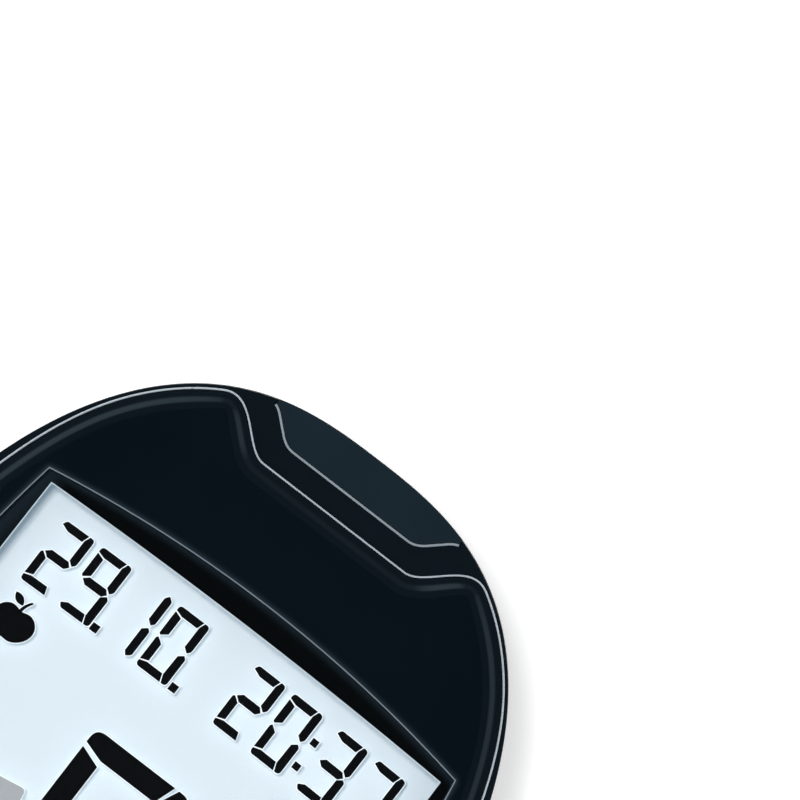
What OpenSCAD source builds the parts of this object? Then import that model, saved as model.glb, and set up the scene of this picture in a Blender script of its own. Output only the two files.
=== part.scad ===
// Blood glucose meter that lies on its back, in millimetres.
// +X is the right side, +Y runs towards the strip port at the head and +Z out of the display.
// The origin is on the table, below the middle of the body.

/* [Body] */
// Width across the widest part
body_w = 65; // [64:0.5:70]
// Length from tail to head
body_l = 98; // [96:0.5:104]
// Distance of the widest part ahead of the middle
belly_y = 7; // [5:0.5:9]
// Height of the face above the table
face_z = 20; // [19.6:0.1:22]
// Width of the rounding along the edge of the back
back_round_w = 5.5; // [4.5:0.1:6]
// Height of the rounding along the edge of the back
back_round_h = 8; // [7:0.1:8.4]
// Sideways lean of the front case's wall, from the seam to the deck
wall_lean = 0.25; // [0.1:0.05:0.3]
// Thickness of the case's floor
floor_t = 1.6; // [1.4:0.1:2]
// Thickness of the case's side walls
side_wall = 2; // [1.9:0.1:2.3]

/* [Face] */
// Thickness of the gloss cover on the front case
cover_t = 1.6; // [1.5:0.1:2]
// Thickness of the front case's deck under the cover
deck_t = 1.4; // [1.2:0.1:1.6]
// Distance of the cover's edge inside the outline at the head
rim_gap_head = 0.5; // [0.45:0.05:0.7]
// Distance of the cover's edge inside the outline along the flanks
rim_gap_side = 0.95; // [0.7:0.05:1.2]
// Width of the bright bead round the cover
bead_w = 0.25; // [0.2:0.05:0.3]
// Height of the bright beads above the deck
bead_h = 0.5; // [0.4:0.05:0.6]
// Width of the rounding along the cover's edge
cover_round_w = 1.6; // [1.2:0.1:1.8]
// Depth of the cover's notch behind the strip port
notch_depth = 7.08; // [6.8:0.05:7.6]
// Half-width of the flat bottom of the notch
notch_flat = 8.6; // [8:0.1:9]
// Half-width of the notch at its mouth
notch_mouth = 16; // [15.5:0.1:16.5]

/* [Strip port] */
// Width of the hood over the strip port
hood_w = 22.2; // [21:0.2:23]
// Depth of the hood behind the head's front
hood_l = 4.3; // [4:0.1:4.6]
// Radius of the hood's front face
hood_r = 50; // [45:1:60]
// Height of the hood above the deck
hood_rise = 0.45; // [0.3:0.05:0.6]
// Half-width of the straight part of the hood's back edge
hood_flat = 7; // [6.5:0.1:7.5]
// Slope of the hood's slanted back corners
hood_slope = 0.9; // [0.8:0.05:0.95]
// Width of the slot in the strip port
slot_w = 9.4; // [8:0.1:10.4]
// Height of the slot in the strip port
slot_h = 1.3; // [1:0.1:1.6]

/* [Display] */
// Distance of the window's corners inside the widest part of the body
window_side = 7.85; // [7.3:0.05:8.1]
// Bow of the window's left and right sides
window_bow_x = 1.85; // [1.2:0.05:2]
// Bow of the window's top and bottom sides
window_bow_y = 2.25; // [1.5:0.05:2.5]
// Distance of the window's front corners behind the head's front
window_head = 20; // [19.6:0.1:20.2]
// Distance of the window's back corners ahead of the tail
window_tail = 34.6; // [34.2:0.1:35.4]
// Depth of the window's surface below the face
window_sink = 0.3; // [0.2:0.05:0.5]
// Thickness of the black border film
mask_t = 0.15; // [0.1:0.05:0.2]
// Width of the black border beside the picture, at the window's corners
view_side = 0.85; // [0.8:0.05:1.6]
// Width of the black border ahead of the picture, at the window's corners
view_head = 0.6; // [0.5:0.1:1]
// Width of the black border behind the picture, at the window's corners
view_tail = 2.8; // [2.4:0.1:4]
// Margin of the display glass beyond the picture
glass_margin = 1.4; // [1.2:0.1:1.5]
// Thickness of the display glass
glass_t = 1.9; // [1.6:0.1:2]
// Thickness of the light guide behind the glass
guide_t = 1; // [0.8:0.1:1.2]
// Thickness of the foam gasket on the glass
gasket_t = 0.6; // [0.5:0.1:0.8]
// Width of the zebra strips
zebra_w = 2; // [1.6:0.1:2.4]
// Wall of the display frame
frame_wall = 0.6; // [0.5:0.1:0.7]

/* [Keys] */
// Radius of the power key
power_r = 6.5; // [6:0.1:7]
// Distance of the power key ahead of the tail
power_tail = 18.5; // [17.5:0.1:19]
// Radius of the up and down keys
arrow_r = 4.8; // [4.4:0.1:5.2]
// Distance of the up and down keys inside the widest part of the body
arrow_side = 16; // [15.5:0.1:16.5]
// Distance of the up and down keys ahead of the tail
arrow_tail = 23; // [22.5:0.1:23.5]
// Height of the key tops above the face
key_rise = 0.4; // [0.2:0.05:0.6]
// Travel of a key
key_travel = 0.6; // [0.4:0.05:0.8]
// Gap round a key in the cover
key_gap = 0.15; // [0.12:0.01:0.2]
// Width of the flange that keeps a key in
flange_w = 1; // [0.8:0.1:1.2]
// Thickness of that flange
flange_t = 1; // [0.8:0.1:1]
// Radius of a rubber dome at its foot
dome_r = 3.4; // [3:0.1:3.6]
// Thickness of a rubber dome's skin
dome_skin = 0.5; // [0.4:0.05:0.6]
// Radius of a carbon pill
pill_r = 1.2; // [1:0.1:1.3]
// Thickness of a carbon pill
pill_t = 0.4; // [0.3:0.05:0.5]
// Thickness of the keypad sheet
sheet_t = 0.6; // [0.5:0.1:0.8]

/* [Battery] */
// Diameter of a coin cell
cell_d = 20; // [19.6:0.1:20.2]
// Thickness of a coin cell
cell_t = 3.2; // [2.8:0.1:3.4]
// Distance of each cell's edge from the middle line
cell_apart = 0.6; // [0.5:0.1:0.9]
// Distance of the cells' centres ahead of the tail
cell_tail = 22; // [21.6:0.1:22.4]
// Clearance round a cell
cell_gap = 0.3; // [0.2:0.05:0.4]
// Room for the spring contacts above a cell
spring_room = 0.8; // [0.7:0.1:1]
// Thickness of the battery bay's roof
roof_t = 1; // [0.8:0.1:1.2]
// Thickness of the contact metal
leaf_t = 0.2; // [0.15:0.05:0.25]
// Reach of the battery door beyond the cells at each side
door_side = 1.4; // [1.1:0.1:1.5]
// Reach of the battery door ahead of the cells
door_lip = 2.5; // [2.2:0.1:3]
// Height of the door's upturned tail
door_tail_h = 4.6; // [4.2:0.1:5]
// Width of the door's upturned tail
door_tail_w = 24; // [20:0.5:26]
// Clearance round the door
door_gap = 0.15; // [0.12:0.01:0.2]
// Sideways reach of the door's rails
rail_w = 0.7; // [0.6:0.05:0.8]
// Length of the door's rails, which is how far the door slides before it lifts off
rail_l = 14; // [12:0.5:14]

/* [Inside] */
// Thickness of the main board
board_t = 1.2; // [1:0.1:1.6]
// Distance of the board's edge inside the outline
board_inset = 3; // [2.8:0.1:3.2]
// Room for parts below the board, above the battery bay
under_room = 2.5; // [2.3:0.1:3]
// Height of the seam above the board's underside
seam_rise = 0.8; // [0.4:0.1:1]
// Side of the processor
processor_w = 10; // [8:0.5:10]
// Radius of the capacitors
capacitor_r = 1.6; // [1.2:0.1:1.8]
// Length of the strip socket behind the head's front
socket_l = 13.5; // [13:0.1:14.5]
// Width of the socket's wall beside the slot
socket_wall = 2.3; // [1.5:0.1:2.5]
// Height of the slot's middle above the board
slot_rise = 2.1; // [1.9:0.1:2.3]
// Width of the data socket
data_w = 7.6; // [7:0.1:8]
// Height of the data socket
data_h = 2.7; // [2.4:0.1:2.9]
// Radius of the buzzer
buzzer_r = 4.5; // [4:0.1:5]
// Height of the buzzer
buzzer_h = 2.2; // [1.8:0.1:2.4]

/* [Fasteners, feet and grips] */
// Radius of the case screws' shanks
screw_r = 1; // [0.8:0.05:1.1]
// Radius of the case screws' heads
screw_head_r = 1.9; // [1.7:0.05:1.95]
// Height of the case screws' heads
screw_head_h = 1.4; // [1.2:0.1:1.5]
// Radius of the screw bosses in the rear case
boss_r = 2.9; // [2.7:0.1:3]
// Height of the feet below the case
foot_h = 0.6; // [0.5:0.1:0.8]
// Depth of the feet's seats in the case
foot_seat = 0.6; // [0.4:0.1:0.8]
// Radius of the feet
foot_r = 3; // [2.6:0.1:3.2]
// Thickness of the rubber grips
grip_t = 0.9; // [0.7:0.05:0.9]
// Distance of the grips' front ends behind the head's front
grip_head = 22.5; // [22:0.5:24]
// Distance of the grips' back ends ahead of the tail
grip_tail = 25; // [23:0.5:27]
// Lower edge of the grips
grip_low_z = 6; // [5.5:0.1:7]

/* [Hidden] */
$fn = 48;
KEYS = ["power", "up", "down"];
SIDES = ["left", "right"];

// Small clearance between pieces of one body, the overshoot of a cut past a face, and how deep
// a boss is rooted in the wall that carries it
fit = 0.05;
over = 1;
root = 0.4;

// Heights, from the table up
back_z = foot_h;
floor_z = back_z + floor_t;
cell_z = floor_z + cell_gap;
cell_top_z = cell_z + cell_t;
roof_z = cell_top_z + spring_room;
board_z = roof_z + roof_t + under_room;
board_top_z = board_z + board_t;
seam_z = board_z + seam_rise;
deck_z = face_z - cover_t;
deck_under_z = deck_z - deck_t;
glass_top_z = deck_under_z - gasket_t;
glass_z = glass_top_z - glass_t;
slot_z = board_top_z + slot_rise;

// The outline is a superellipse, shorter at the head than at the tail
half_w = body_w / 2;
head_y = body_l / 2;
head_l = head_y - belly_y;
tail_l = head_y + belly_y;
width_power = 2.7;
head_power = 2;
tail_power = 2.4;
flank_steps = 13;
head_steps = 17;

function spow(v, e) = sign(v) * pow(abs(v), e);
function mix(a, b, t) = a + (b - a) * t;
function ramp(lo, hi, v) = min(max((v - lo) / (hi - lo), 0), 1);
function smooth(lo, hi, v) = let (t = ramp(lo, hi, v)) t * t * (3 - 2 * t);

function outline_point(t) =
    let (ahead = sin(t) >= 0, l = ahead ? head_l : tail_l, power = ahead ? head_power : tail_power)
    [half_w * spow(cos(t), 2 / width_power), belly_y + l * spow(sin(t), 2 / power)];

function outline_x(y) =
    let (l = y >= belly_y ? head_l : tail_l, power = y >= belly_y ? head_power : tail_power)
    half_w * pow(1 - pow(abs(y - belly_y) / l, power), 1 / width_power);

// One quarter of the turn round the outline: even angles up the flank, then a point per millimetre
function turn_at(x) = acos(pow(x / half_w, width_power / 2));
quarter = concat(
    [for (k = [0 : flank_steps - 1]) k * turn_at(head_steps) / flank_steps],
    [for (x = [head_steps : -1 : 1]) turn_at(x)]
);
back_quarter = [for (i = [len(quarter) - 1 : -1 : 1]) quarter[i]];
turns = concat(
    quarter, [90], [for (q = back_quarter) 180 - q],
    [for (q = quarter) 180 + q], [270], [for (q = back_quarter) 360 - q]
);
outline = [for (t = turns) outline_point(t)];

// Direction out of a closed path at one of its points, and the path moved inwards
function outward(path, i) =
    let (n = len(path), along = path[(i + 1) % n] - path[(i + n - 1) % n])
    [along.y, -along.x] / norm(along);
function inset(path, d) = [for (i = [0 : len(path) - 1]) path[i] - d * outward(path, i)];
function lift(path, z) = [for (p = path) [p.x, p.y, z]];

// Sideways inset of the body's skin at a height: round near the back, leaning near the deck
function skin(z) =
    z < back_z + back_round_h
        ? back_round_w * (1 - sqrt(1 - pow(1 - max(z - back_z, 0) / back_round_h, 2)))
        : wall_lean * pow(ramp(seam_z, deck_z, z), 2);
back_rings = concat(
    [
        for (a = [0 : 15 : 90])
            let (z = back_z + back_round_h * (1 - cos(a)))
            lift(inset(outline, skin(z)), z)
    ],
    [lift(outline, seam_z)]
);
front_rings = [
    for (t = [0 : 0.25 : 1])
        let (z = mix(seam_z, deck_z, t))
        lift(inset(outline, skin(z)), z)
];

// The cover's edge runs inside the outline and dips behind the strip port
rim_turn_start = 25;
rim_turn_end = 9;
notch_y = head_y - notch_depth;
rim = [
    for (i = [0 : len(outline) - 1])
        let (headward = smooth(head_y - rim_turn_start, head_y - rim_turn_end, outline[i].y))
        outline[i] - mix(rim_gap_side, rim_gap_head, headward) * outward(outline, i)
];
cover_edge = [
    for (p = rim)
        p.y < 0 ? p : [p.x, mix(notch_y, p.y, smooth(notch_flat, notch_mouth, abs(p.x)))]
];
cover_foot_h = 0.35;
cover_rings = concat(
    [lift(inset(cover_edge, bead_w / 2 + fit), deck_z)],
    [
        for (a = [0 : 18 : 90])
            lift(
                inset(cover_edge, bead_w / 2 + fit + cover_round_w * (1 - cos(a))),
                deck_z + cover_foot_h + (cover_t - cover_foot_h) * sin(a)
            )
    ]
);

// The hood's back edge is straight in the middle, bends, and slants out to the outline
hood_bend = 0.55;
hood_turn = hood_slope / hood_bend;
hood_back_y = head_y - hood_l;
function hood_back(x) =
    let (t = max(abs(x) - hood_flat, 0))
    hood_back_y + (t < hood_turn ? hood_bend * t * t / 2 : hood_slope * (t - hood_turn / 2));
function hood_front(x) = head_y - x * x / (2 * hood_r);
hood_steps = 24;
hood_xs = [for (k = [0 : hood_steps]) hood_w * (k / hood_steps - 0.5)];
hood_back_edge = [for (x = hood_xs) [x, hood_back(x)]];
hood_front_edge = [for (x = hood_xs) [-x, hood_front(x)]];
hood_path = concat(hood_back_edge, hood_front_edge);
function hood_normal(x) =
    let (e = 0.05, rise = hood_back(x + e) - hood_back(x - e))
    [rise, -2 * e] / norm([rise, 2 * e]);

// The window's corners, and a rectangle whose four sides bow outwards
window_corner_x = half_w - window_side;
window_top_y = head_y - window_head;
window_bottom_y = window_tail - head_y;
bow_steps = 12;
function bowed(x, y0, y1, bow_x, bow_y) =
    let (ymid = (y0 + y1) / 2, yhalf = (y1 - y0) / 2, last = bow_steps - 1)
    let (ups = [for (k = [0 : last]) 2 * k / bow_steps - 1])
    concat(
        [for (s = ups) [x + bow_x * (1 - s * s), ymid + s * yhalf]],
        [for (s = ups) [-s * x, y1 + bow_y * (1 - s * s)]],
        [for (s = ups) [-x - bow_x * (1 - s * s), ymid - s * yhalf]],
        [for (s = ups) [s * x, y0 - bow_y * (1 - s * s)]]
    );
window_path = bowed(window_corner_x, window_bottom_y, window_top_y, window_bow_x, window_bow_y);

// Display parts, from the picture outwards
window_gap = 0.1;
view_x = window_corner_x - view_side;
view_top_y = window_top_y - view_head;
view_bottom_y = window_bottom_y + view_tail;
glass_x = view_x + glass_margin;
glass_low_y = view_bottom_y - glass_margin;
glass_high_y = view_top_y + glass_margin;
frame_x = glass_x + fit + frame_wall;
frame_low_y = glass_low_y - fit - frame_wall;
frame_high_y = glass_high_y + fit + frame_wall;
gasket_gap = 0.4;
view_gap = 0.2;
zebra_short = 1;

// Keys: place and radius of each
power_y = power_tail - head_y;
arrow_y = arrow_tail - head_y;
arrow_x = half_w - arrow_side;
key_at = [[0, power_y], [arrow_x, arrow_y], [-arrow_x, arrow_y]];
key_radius = [power_r, arrow_r, arrow_r];
stem_r = 1.6;
pill_gap = 0.1;
dome_h = key_travel + pill_gap + pill_t + dome_skin;
dome_top_r = 2;
dome_roof_z = board_top_z + dome_h - dome_skin;
sheet_margin = 1.4;
flange_gap = 0.3;

// Battery bay and door, which follow the two cells
cell_x = cell_apart + cell_d / 2;
cell_y = cell_tail - head_y;
cell_cap_rim = 1.3;
cell_cap_h = 0.3;
door_w = 2 * (cell_x + cell_d / 2 + door_side);
door_y = cell_y + cell_d / 2 + door_lip;
door_tail_t = 3.5;
door_tail_y = door_tail_t - head_y;
rail_start = 1.5;
rail_high_y = door_y - rail_start;
rail_low_z = back_z + 0.7;
rail_high_z = floor_z - 0.2;
bay_wall = 2.2;
bay_tail_wall = 3.2;
bay_x = door_w / 2 + bay_wall;
bay_low_y = cell_y - cell_d / 2 - bay_tail_wall;
bay_high_y = door_y + bay_wall;
corner_wall = 4.2;
corner_root = 0.8;
corner_step = 4;
corner_step_z = back_z + corner_step;
leaf_x = 2;
plus_gap = 0.02;
plus_y = cell_y + cell_d / 2 + plus_gap;
minus_back = 6.2;
minus_y = cell_y - minus_back;
minus_run = 4.2;
minus_drop = 4;
minus_tip = 2;
ribs = 5;
rib_pitch = 1.6;
rib_w = 0.8;
rib_deep = 0.4;
rib_x = 7;

// Screws: two behind the head, two under the battery door's tail, two in the board
boss_gap = 0.45;
front_boss_r = 2.4;
screw_clear = 0.15;
head_clear = 0.25;
thread_bite = 0.02;
screw_sunk = 3.4;
screw_seat_z = back_z + screw_sunk;
screw_short = 0.5;
head_screw_side = 16;
head_screw_back = 15;
tail_screw_x = 8;
tail_screw_ahead = 8;
head_screw_at = [half_w - head_screw_side, head_y - head_screw_back];
tail_screw_at = [tail_screw_x, tail_screw_ahead - head_y];
screws_at = [for (p = [head_screw_at, tail_screw_at], s = [-1, 1]) [s * p.x, p.y]];
board_screw_r = 0.8;
board_screw_head_r = 1.5;
board_screw_head_h = 1.1;
board_screw_l = 5;
board_boss_r = 2.2;
board_screw_ahead = 1;
board_screw_x = frame_x + boss_gap + board_screw_head_r;
board_screws_at = [for (s = [-1, 1]) [s * board_screw_x, belly_y + board_screw_ahead]];

// Feet: two near the head, two on the battery door
front_foot_side = 13;
front_foot_back = 25;
back_foot_side = 2.4;
back_foot_back = 8;
front_foot_at = [half_w - front_foot_side, head_y - front_foot_back];
back_foot_at = [cell_x + back_foot_side, cell_y - back_foot_back];
feet_at = [for (p = [front_foot_at, back_foot_at], s = [-1, 1]) [s * p.x, p.y]];

// Parts under the board, and the sound holes below the buzzer
buzzer_side = 14.5;
buzzer_ahead = 9;
buzzer_at = [buzzer_side - half_w, belly_y + buzzer_ahead];
sound_hole_r = 0.6;
sound_hole_ring = 1.6;
processor_t = 1.2;
processor_x = 8;
processor_ahead = 5;
processor_at = [processor_x, belly_y + processor_ahead];
memory_w = 5;
memory_l = 6;
memory_t = 1;
memory_x = 4;
memory_ahead = 3;
memory_at = [-memory_x, belly_y + memory_ahead];
crystal_l = 6;
crystal_w = 2.4;
crystal_t = 1.6;
crystal_back = 5;
crystal_at = [processor_x, processor_at.y - processor_w / 2 - crystal_back];
capacitor_h = 1.8;
capacitor_pitch = 5;
capacitor_gap = 1.4;
capacitor_ahead = 2;
capacitor_at = [
    processor_x + processor_w / 2 + capacitor_gap + capacitor_r, belly_y + capacitor_ahead
];

// Sockets: the strip port's at the head with three sprung fingers, the data socket at the tail
socket_roof = 1;
socket_gap = 0.3;
socket_end = 1;
finger_w = 0.8;
finger_pitch = 2.6;
finger_root = 2;
finger_knee = 5;
finger_l = 6.5;
finger_dip = 0.6;
finger_back = 0.5;
data_gap = 0.4;
data_wall = 0.35;
data_sunk = 0.8;
data_l = 5.6;
data_end = 0.6;

// Triangles that close a loft's two ends: a fan round a middle point, or, for a ring that is a
// bent band, pairs across it from the outer path to the inner one
function middle(ring) = [0, (min([for (p = ring) p.y]) + max([for (p = ring) p.y])) / 2, ring[0].z];
function fan_ends(n, high, extra) = [
    for (i = [0 : n - 1])
        let (j = (i + 1) % n)
        each [[extra, i, j], [extra + 1, high + j, high + i]]
];
function band_ends(n, high) = [
    for (i = [0 : n / 2 - 2])
        let (a = i, b = i + 1, c = n - 2 - i, d = n - 1 - i)
        each [
            [a, b, c], [a, c, d],
            [high + c, high + b, high + a], [high + d, high + c, high + a]
        ]
];

// Solid through a stack of level rings
module loft(rings, band = false) {
    n = len(rings[0]);
    last = len(rings) - 1;
    sides = [
        for (j = [0 : last - 1], i = [0 : n - 1])
            let (a = j * n + i, b = j * n + (i + 1) % n)
            each [[a, a + n, b + n], [a, b + n, b]]
    ];
    points = [for (r = rings) each r];
    if (band) polyhedron(points, concat(sides, band_ends(n, last * n)));
    else polyhedron(
        concat(points, [middle(rings[0]), middle(rings[last])]),
        concat(sides, fan_ends(n, last * n, len(points)))
    );
}
module slab(path, z0, z1) translate([0, 0, z0]) linear_extrude(z1 - z0) polygon(path);
module block(lo, hi) translate(lo) cube(hi - lo);
module wide_block(x, y0, y1, z0, z1) block([-x, y0, z0], [x, y1, z1]);
module peg(at, z0, z1, r) translate([at.x, at.y, z0]) cylinder(h = z1 - z0, r = r);

// A band of the flank's skin, from depth d0 to depth d1, used for the grips and their pockets
grip_front_y = head_y - grip_head;
grip_back_y = grip_tail - head_y;
function flank_point(y, d) =
    let (e = 0.01, dx = outline_x(y + e) - outline_x(y - e))
    [outline_x(y), y] - d * [2 * e, -dx] / norm([2 * e, dx]);
function flank_ring(z, d0, d1, y0, y1) =
    let (steps = 16, s = skin(z), ys = [for (k = [0 : steps]) mix(y0, y1, k / steps)])
    concat(
        lift([for (y = ys) flank_point(y, s + d0)], z),
        lift([for (k = [steps : -1 : 0]) flank_point(ys[k], s + d1)], z)
    );
module flank_band(d0, d1, y0, y1, z0, z1)
    loft([for (t = [0 : 0.125 : 1]) flank_ring(mix(z0, z1, t), d0, d1, y0, y1)], band = true);
module grip_pockets()
    for (s = [0, 1]) mirror([s, 0, 0])
        flank_band(
            -over, grip_t + fit, grip_back_y - fit, grip_front_y + fit,
            grip_low_z - fit, deck_z + over
        );

module cross_recess(at, z, r) {
    translate([at.x, at.y, z]) cube([1.5 * r, 0.3 * r, 0.8 * r], center = true);
    translate([at.x, at.y, z]) cube([0.3 * r, 1.5 * r, 0.8 * r], center = true);
}

// Space of the battery door: its plate, its upturned tail and its rails, widened by a gap
module door_space(gap) {
    wide_block(door_w / 2 + gap, -head_y - over, door_y + gap, back_z - over, floor_z + gap);
    wide_block(
        door_tail_w / 2 + gap, -head_y - over, door_tail_y + gap,
        back_z - over, back_z + door_tail_h + gap
    );
    // The grooves run on to the tail, so that the rails can leave them
    wide_block(
        door_w / 2 + rail_w + gap, rail_high_y - rail_l - (gap > 0 ? head_y : 0), rail_high_y + gap,
        rail_low_z - gap, rail_high_z + gap
    );
}

module leaf_slot(y, z)
    wide_block(leaf_x + fit, y - fit, y + leaf_t + fit, z, roof_z + roof_t + over);

module rear_case() color("#16222a") difference() {
    union() {
        difference() {
            loft(back_rings);
            slab(inset(outline, corner_wall), floor_z, corner_step_z + fit);
            slab(inset(outline, side_wall), corner_step_z, seam_z + over);
        }
        intersection() {
            slab(inset(outline, corner_wall - corner_root), floor_z - root, roof_z + roof_t);
            union() {
                wide_block(bay_x, bay_low_y, bay_high_y, floor_z - root, roof_z + roof_t);
                for (p = screws_at) peg(p, floor_z - root, corner_step_z, boss_r);
                for (p = board_screws_at) peg(p, floor_z - root, corner_step_z, board_boss_r);
            }
        }
        for (p = screws_at) peg(p, corner_step_z - root, board_z, boss_r);
        for (p = board_screws_at) peg(p, corner_step_z - root, board_z, board_boss_r);
    }
    door_space(door_gap);
    for (s = [-1, 1]) {
        peg([s * cell_x, cell_y], 0, roof_z, cell_d / 2 + cell_gap);
        translate([s * cell_x, 0, 0]) {
            leaf_slot(plus_y, floor_z);
            leaf_slot(minus_y, roof_z - over);
        }
    }
    for (p = screws_at) {
        peg(p, -over, screw_seat_z, screw_head_r + head_clear);
        peg(p, 0, board_z + over, screw_r + screw_clear);
    }
    for (p = board_screws_at) peg(p, floor_z, board_z + over, board_screw_r + thread_bite);
    for (n = [0, 1]) peg(feet_at[n], -over, back_z + foot_seat, foot_r + fit);
    for (a = [0 : 120 : 240])
        peg(buzzer_at + sound_hole_ring * [cos(a), sin(a)], -over, floor_z + over, sound_hole_r);
    grip_pockets();
}

module front_case() color("#0c1a22") difference() {
    union() {
        difference() {
            loft(front_rings);
            slab(inset(outline, side_wall + wall_lean), seam_z - over, deck_under_z);
        }
        for (p = screws_at) peg(p, board_top_z, deck_under_z + root, front_boss_r);
    }
    wide_block(
        view_x + view_gap, view_bottom_y - view_gap, view_top_y + view_gap,
        deck_under_z - over, deck_z + over
    );
    for (k = [0 : 2])
        peg(key_at[k], deck_under_z - over, deck_z + over, key_radius[k] + flange_w + flange_gap);
    slab(inset(hood_path, -fit), seam_z - over, deck_z + over);
    wide_block(hood_w / 2 + fit, hood_front(hood_w / 2), head_y + over, seam_z - over, deck_z + over);
    wide_block(
        data_w / 2 + data_gap, -head_y - over, -head_y + side_wall + over,
        board_top_z - data_gap, board_top_z + data_h + data_gap
    );
    for (p = screws_at) peg(p, board_top_z - over, deck_under_z, screw_r + thread_bite);
    grip_pockets();
}

module face_cover() color("#0a151b") difference() {
    loft(cover_rings);
    slab(window_path, deck_z - over, face_z + over);
    for (k = [0 : 2]) peg(key_at[k], deck_z - over, face_z + over, key_radius[k] + key_gap);
}

module face_trim() color("#c8d6de") difference() {
    slab(inset(cover_edge, -bead_w / 2), deck_z, deck_z + bead_h);
    slab(inset(cover_edge, bead_w / 2), deck_z - over, deck_z + bead_h + over);
}

module port_hood() color("#1a2830") difference() {
    slab(hood_path, seam_z + fit, deck_z + hood_rise);
    wide_block(slot_w / 2, 0, head_y + over, slot_z - slot_h / 2, slot_z + slot_h / 2);
}

module port_trim() color("#88949b")
    slab(
        concat(
            [for (p = hood_back_edge) p + (fit + bead_w) * hood_normal(p.x)],
            [for (k = [hood_steps : -1 : 0]) let (p = hood_back_edge[k]) p + fit * hood_normal(p.x)]
        ),
        deck_z, deck_z + bead_h
    );

module display_window() color("#c8dce6", 0.4)
    slab(inset(window_path, window_gap), deck_z + mask_t, face_z - window_sink);

module window_mask() color("black") difference() {
    slab(inset(window_path, window_gap), deck_z, deck_z + mask_t);
    wide_block(view_x, view_bottom_y, view_top_y, deck_z - over, deck_z + over);
}

module display_gasket() color("#303030") difference() {
    wide_block(glass_x, glass_low_y, glass_high_y, glass_top_z, deck_under_z);
    wide_block(
        view_x + gasket_gap, view_bottom_y - gasket_gap, view_top_y + gasket_gap,
        glass_top_z - over, deck_under_z + over
    );
}

// Two sheets of glass: the lower one is longer, for the contacts along its edges
module display_glass() color("#dfecf3") {
    middle_z = glass_z + glass_t / 2;
    ledge = zebra_w / 4;
    wide_block(glass_x, glass_low_y, glass_high_y, glass_z, middle_z);
    wide_block(glass_x, glass_low_y + ledge, glass_high_y - ledge, middle_z, glass_top_z);
}

module light_guide() color("white") {
    low_y = glass_low_y + zebra_w + fit;
    high_y = glass_high_y - zebra_w - fit;
    wide_block(glass_x, low_y, high_y, glass_z - guide_t, glass_z);
}

module display_frame() color("#f0f0ea") difference() {
    wide_block(frame_x, frame_low_y, frame_high_y, board_top_z, glass_top_z);
    wide_block(
        frame_x - frame_wall, frame_low_y + frame_wall, frame_high_y - frame_wall,
        board_top_z - over, glass_top_z + over
    );
}

module zebra(y) color("#d05a78")
    wide_block(glass_x - zebra_short, y, y + zebra_w, board_top_z, glass_z);

module main_board() color("#1f6b3a") difference() {
    slab(inset(outline, board_inset), board_z, board_top_z);
    slab(inset(hood_path, -socket_gap), board_z - over, board_top_z + over);
    for (p = screws_at) peg(p, board_z - over, board_top_z + over, screw_r + screw_clear);
    for (p = board_screws_at)
        peg(p, board_z - over, board_top_z + over, board_screw_r + screw_clear);
}

module chip(at, size) color("#1c1c1e")
    translate([at.x - size.x / 2, at.y - size.y / 2, board_z - size.z]) cube(size);
module can(at, r, h) color("#b8bcc0") peg(at, board_z - h, board_z, r);

module strip_socket() color("#e8e6da") difference() {
    low_y = head_y - socket_l;
    slot_top_z = slot_z + slot_h / 2;
    wide_block(
        slot_w / 2 + socket_wall, low_y, hood_back_y - socket_gap,
        board_top_z, slot_top_z + socket_roof
    );
    wide_block(slot_w / 2, low_y + socket_end, head_y, slot_z - slot_h / 2, slot_top_z);
}

// A sprung finger that hangs from the top of the slot
module strip_contact(x) color("#d8b24a")
    translate([
        x + finger_w / 2, head_y - socket_l + socket_end + finger_back, slot_z + slot_h / 2
    ])
    rotate([90, 0, -90]) mirror([1, 0, 0]) linear_extrude(finger_w)
        polygon([
            [0, 0], [finger_root, 0], [finger_knee, -finger_dip], [finger_l, -finger_dip / 2],
            [finger_l, -finger_dip / 2 - leaf_t], [finger_knee, -finger_dip - leaf_t],
            [finger_root, -leaf_t], [0, -leaf_t]
        ]);

module data_socket() color("#c4c8cc") difference() {
    low_y = data_sunk - head_y;
    wide_block(data_w / 2, low_y, low_y + data_l, board_top_z, board_top_z + data_h);
    wide_block(
        data_w / 2 - data_wall, low_y - over, low_y + data_l - data_end,
        board_top_z + data_wall, board_top_z + data_h - data_wall
    );
}

module keypad_sheet() color("#9aa0a4") difference() {
    reach = dome_r + sheet_margin;
    wide_block(
        arrow_x + reach, power_y - reach, arrow_y + reach, board_top_z, board_top_z + sheet_t
    );
    for (p = key_at) peg(p, board_top_z - over, board_top_z + sheet_t + over, dome_r + fit);
}

module key(k) color("#22303a") translate([key_at[k].x, key_at[k].y, 0]) {
    peg([0, 0], deck_z - fit - flange_t, deck_z - fit, key_radius[k] + flange_w);
    peg([0, 0], deck_z - fit, face_z + key_rise, key_radius[k]);
    peg([0, 0], board_top_z + dome_h, deck_z - fit - flange_t, stem_r);
}

// A hollow rubber cone under each key
module dome(k) color("#b8bec2") translate([key_at[k].x, key_at[k].y, board_top_z]) rotate_extrude()
    polygon([
        [dome_r, 0], [dome_top_r, dome_h], [0, dome_h], [0, dome_h - dome_skin],
        [dome_top_r - dome_skin, dome_h - dome_skin], [dome_r - dome_skin, 0]
    ]);

module pill(k) color("#202020")
    peg(key_at[k], dome_roof_z - pill_t, dome_roof_z, pill_r);

module battery_door() color("#1b2830") difference() {
    intersection() {
        loft(back_rings);
        door_space(0);
    }
    for (n = [2, 3]) peg(feet_at[n], -over, back_z + foot_seat, foot_r + fit);
    for (n = [0 : ribs - 1]) {
        y = door_y - 2 * door_lip - rib_pitch * n;
        wide_block(rib_x - n, y - rib_w / 2, y + rib_w / 2, 0, back_z + rib_deep);
    }
}

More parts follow.
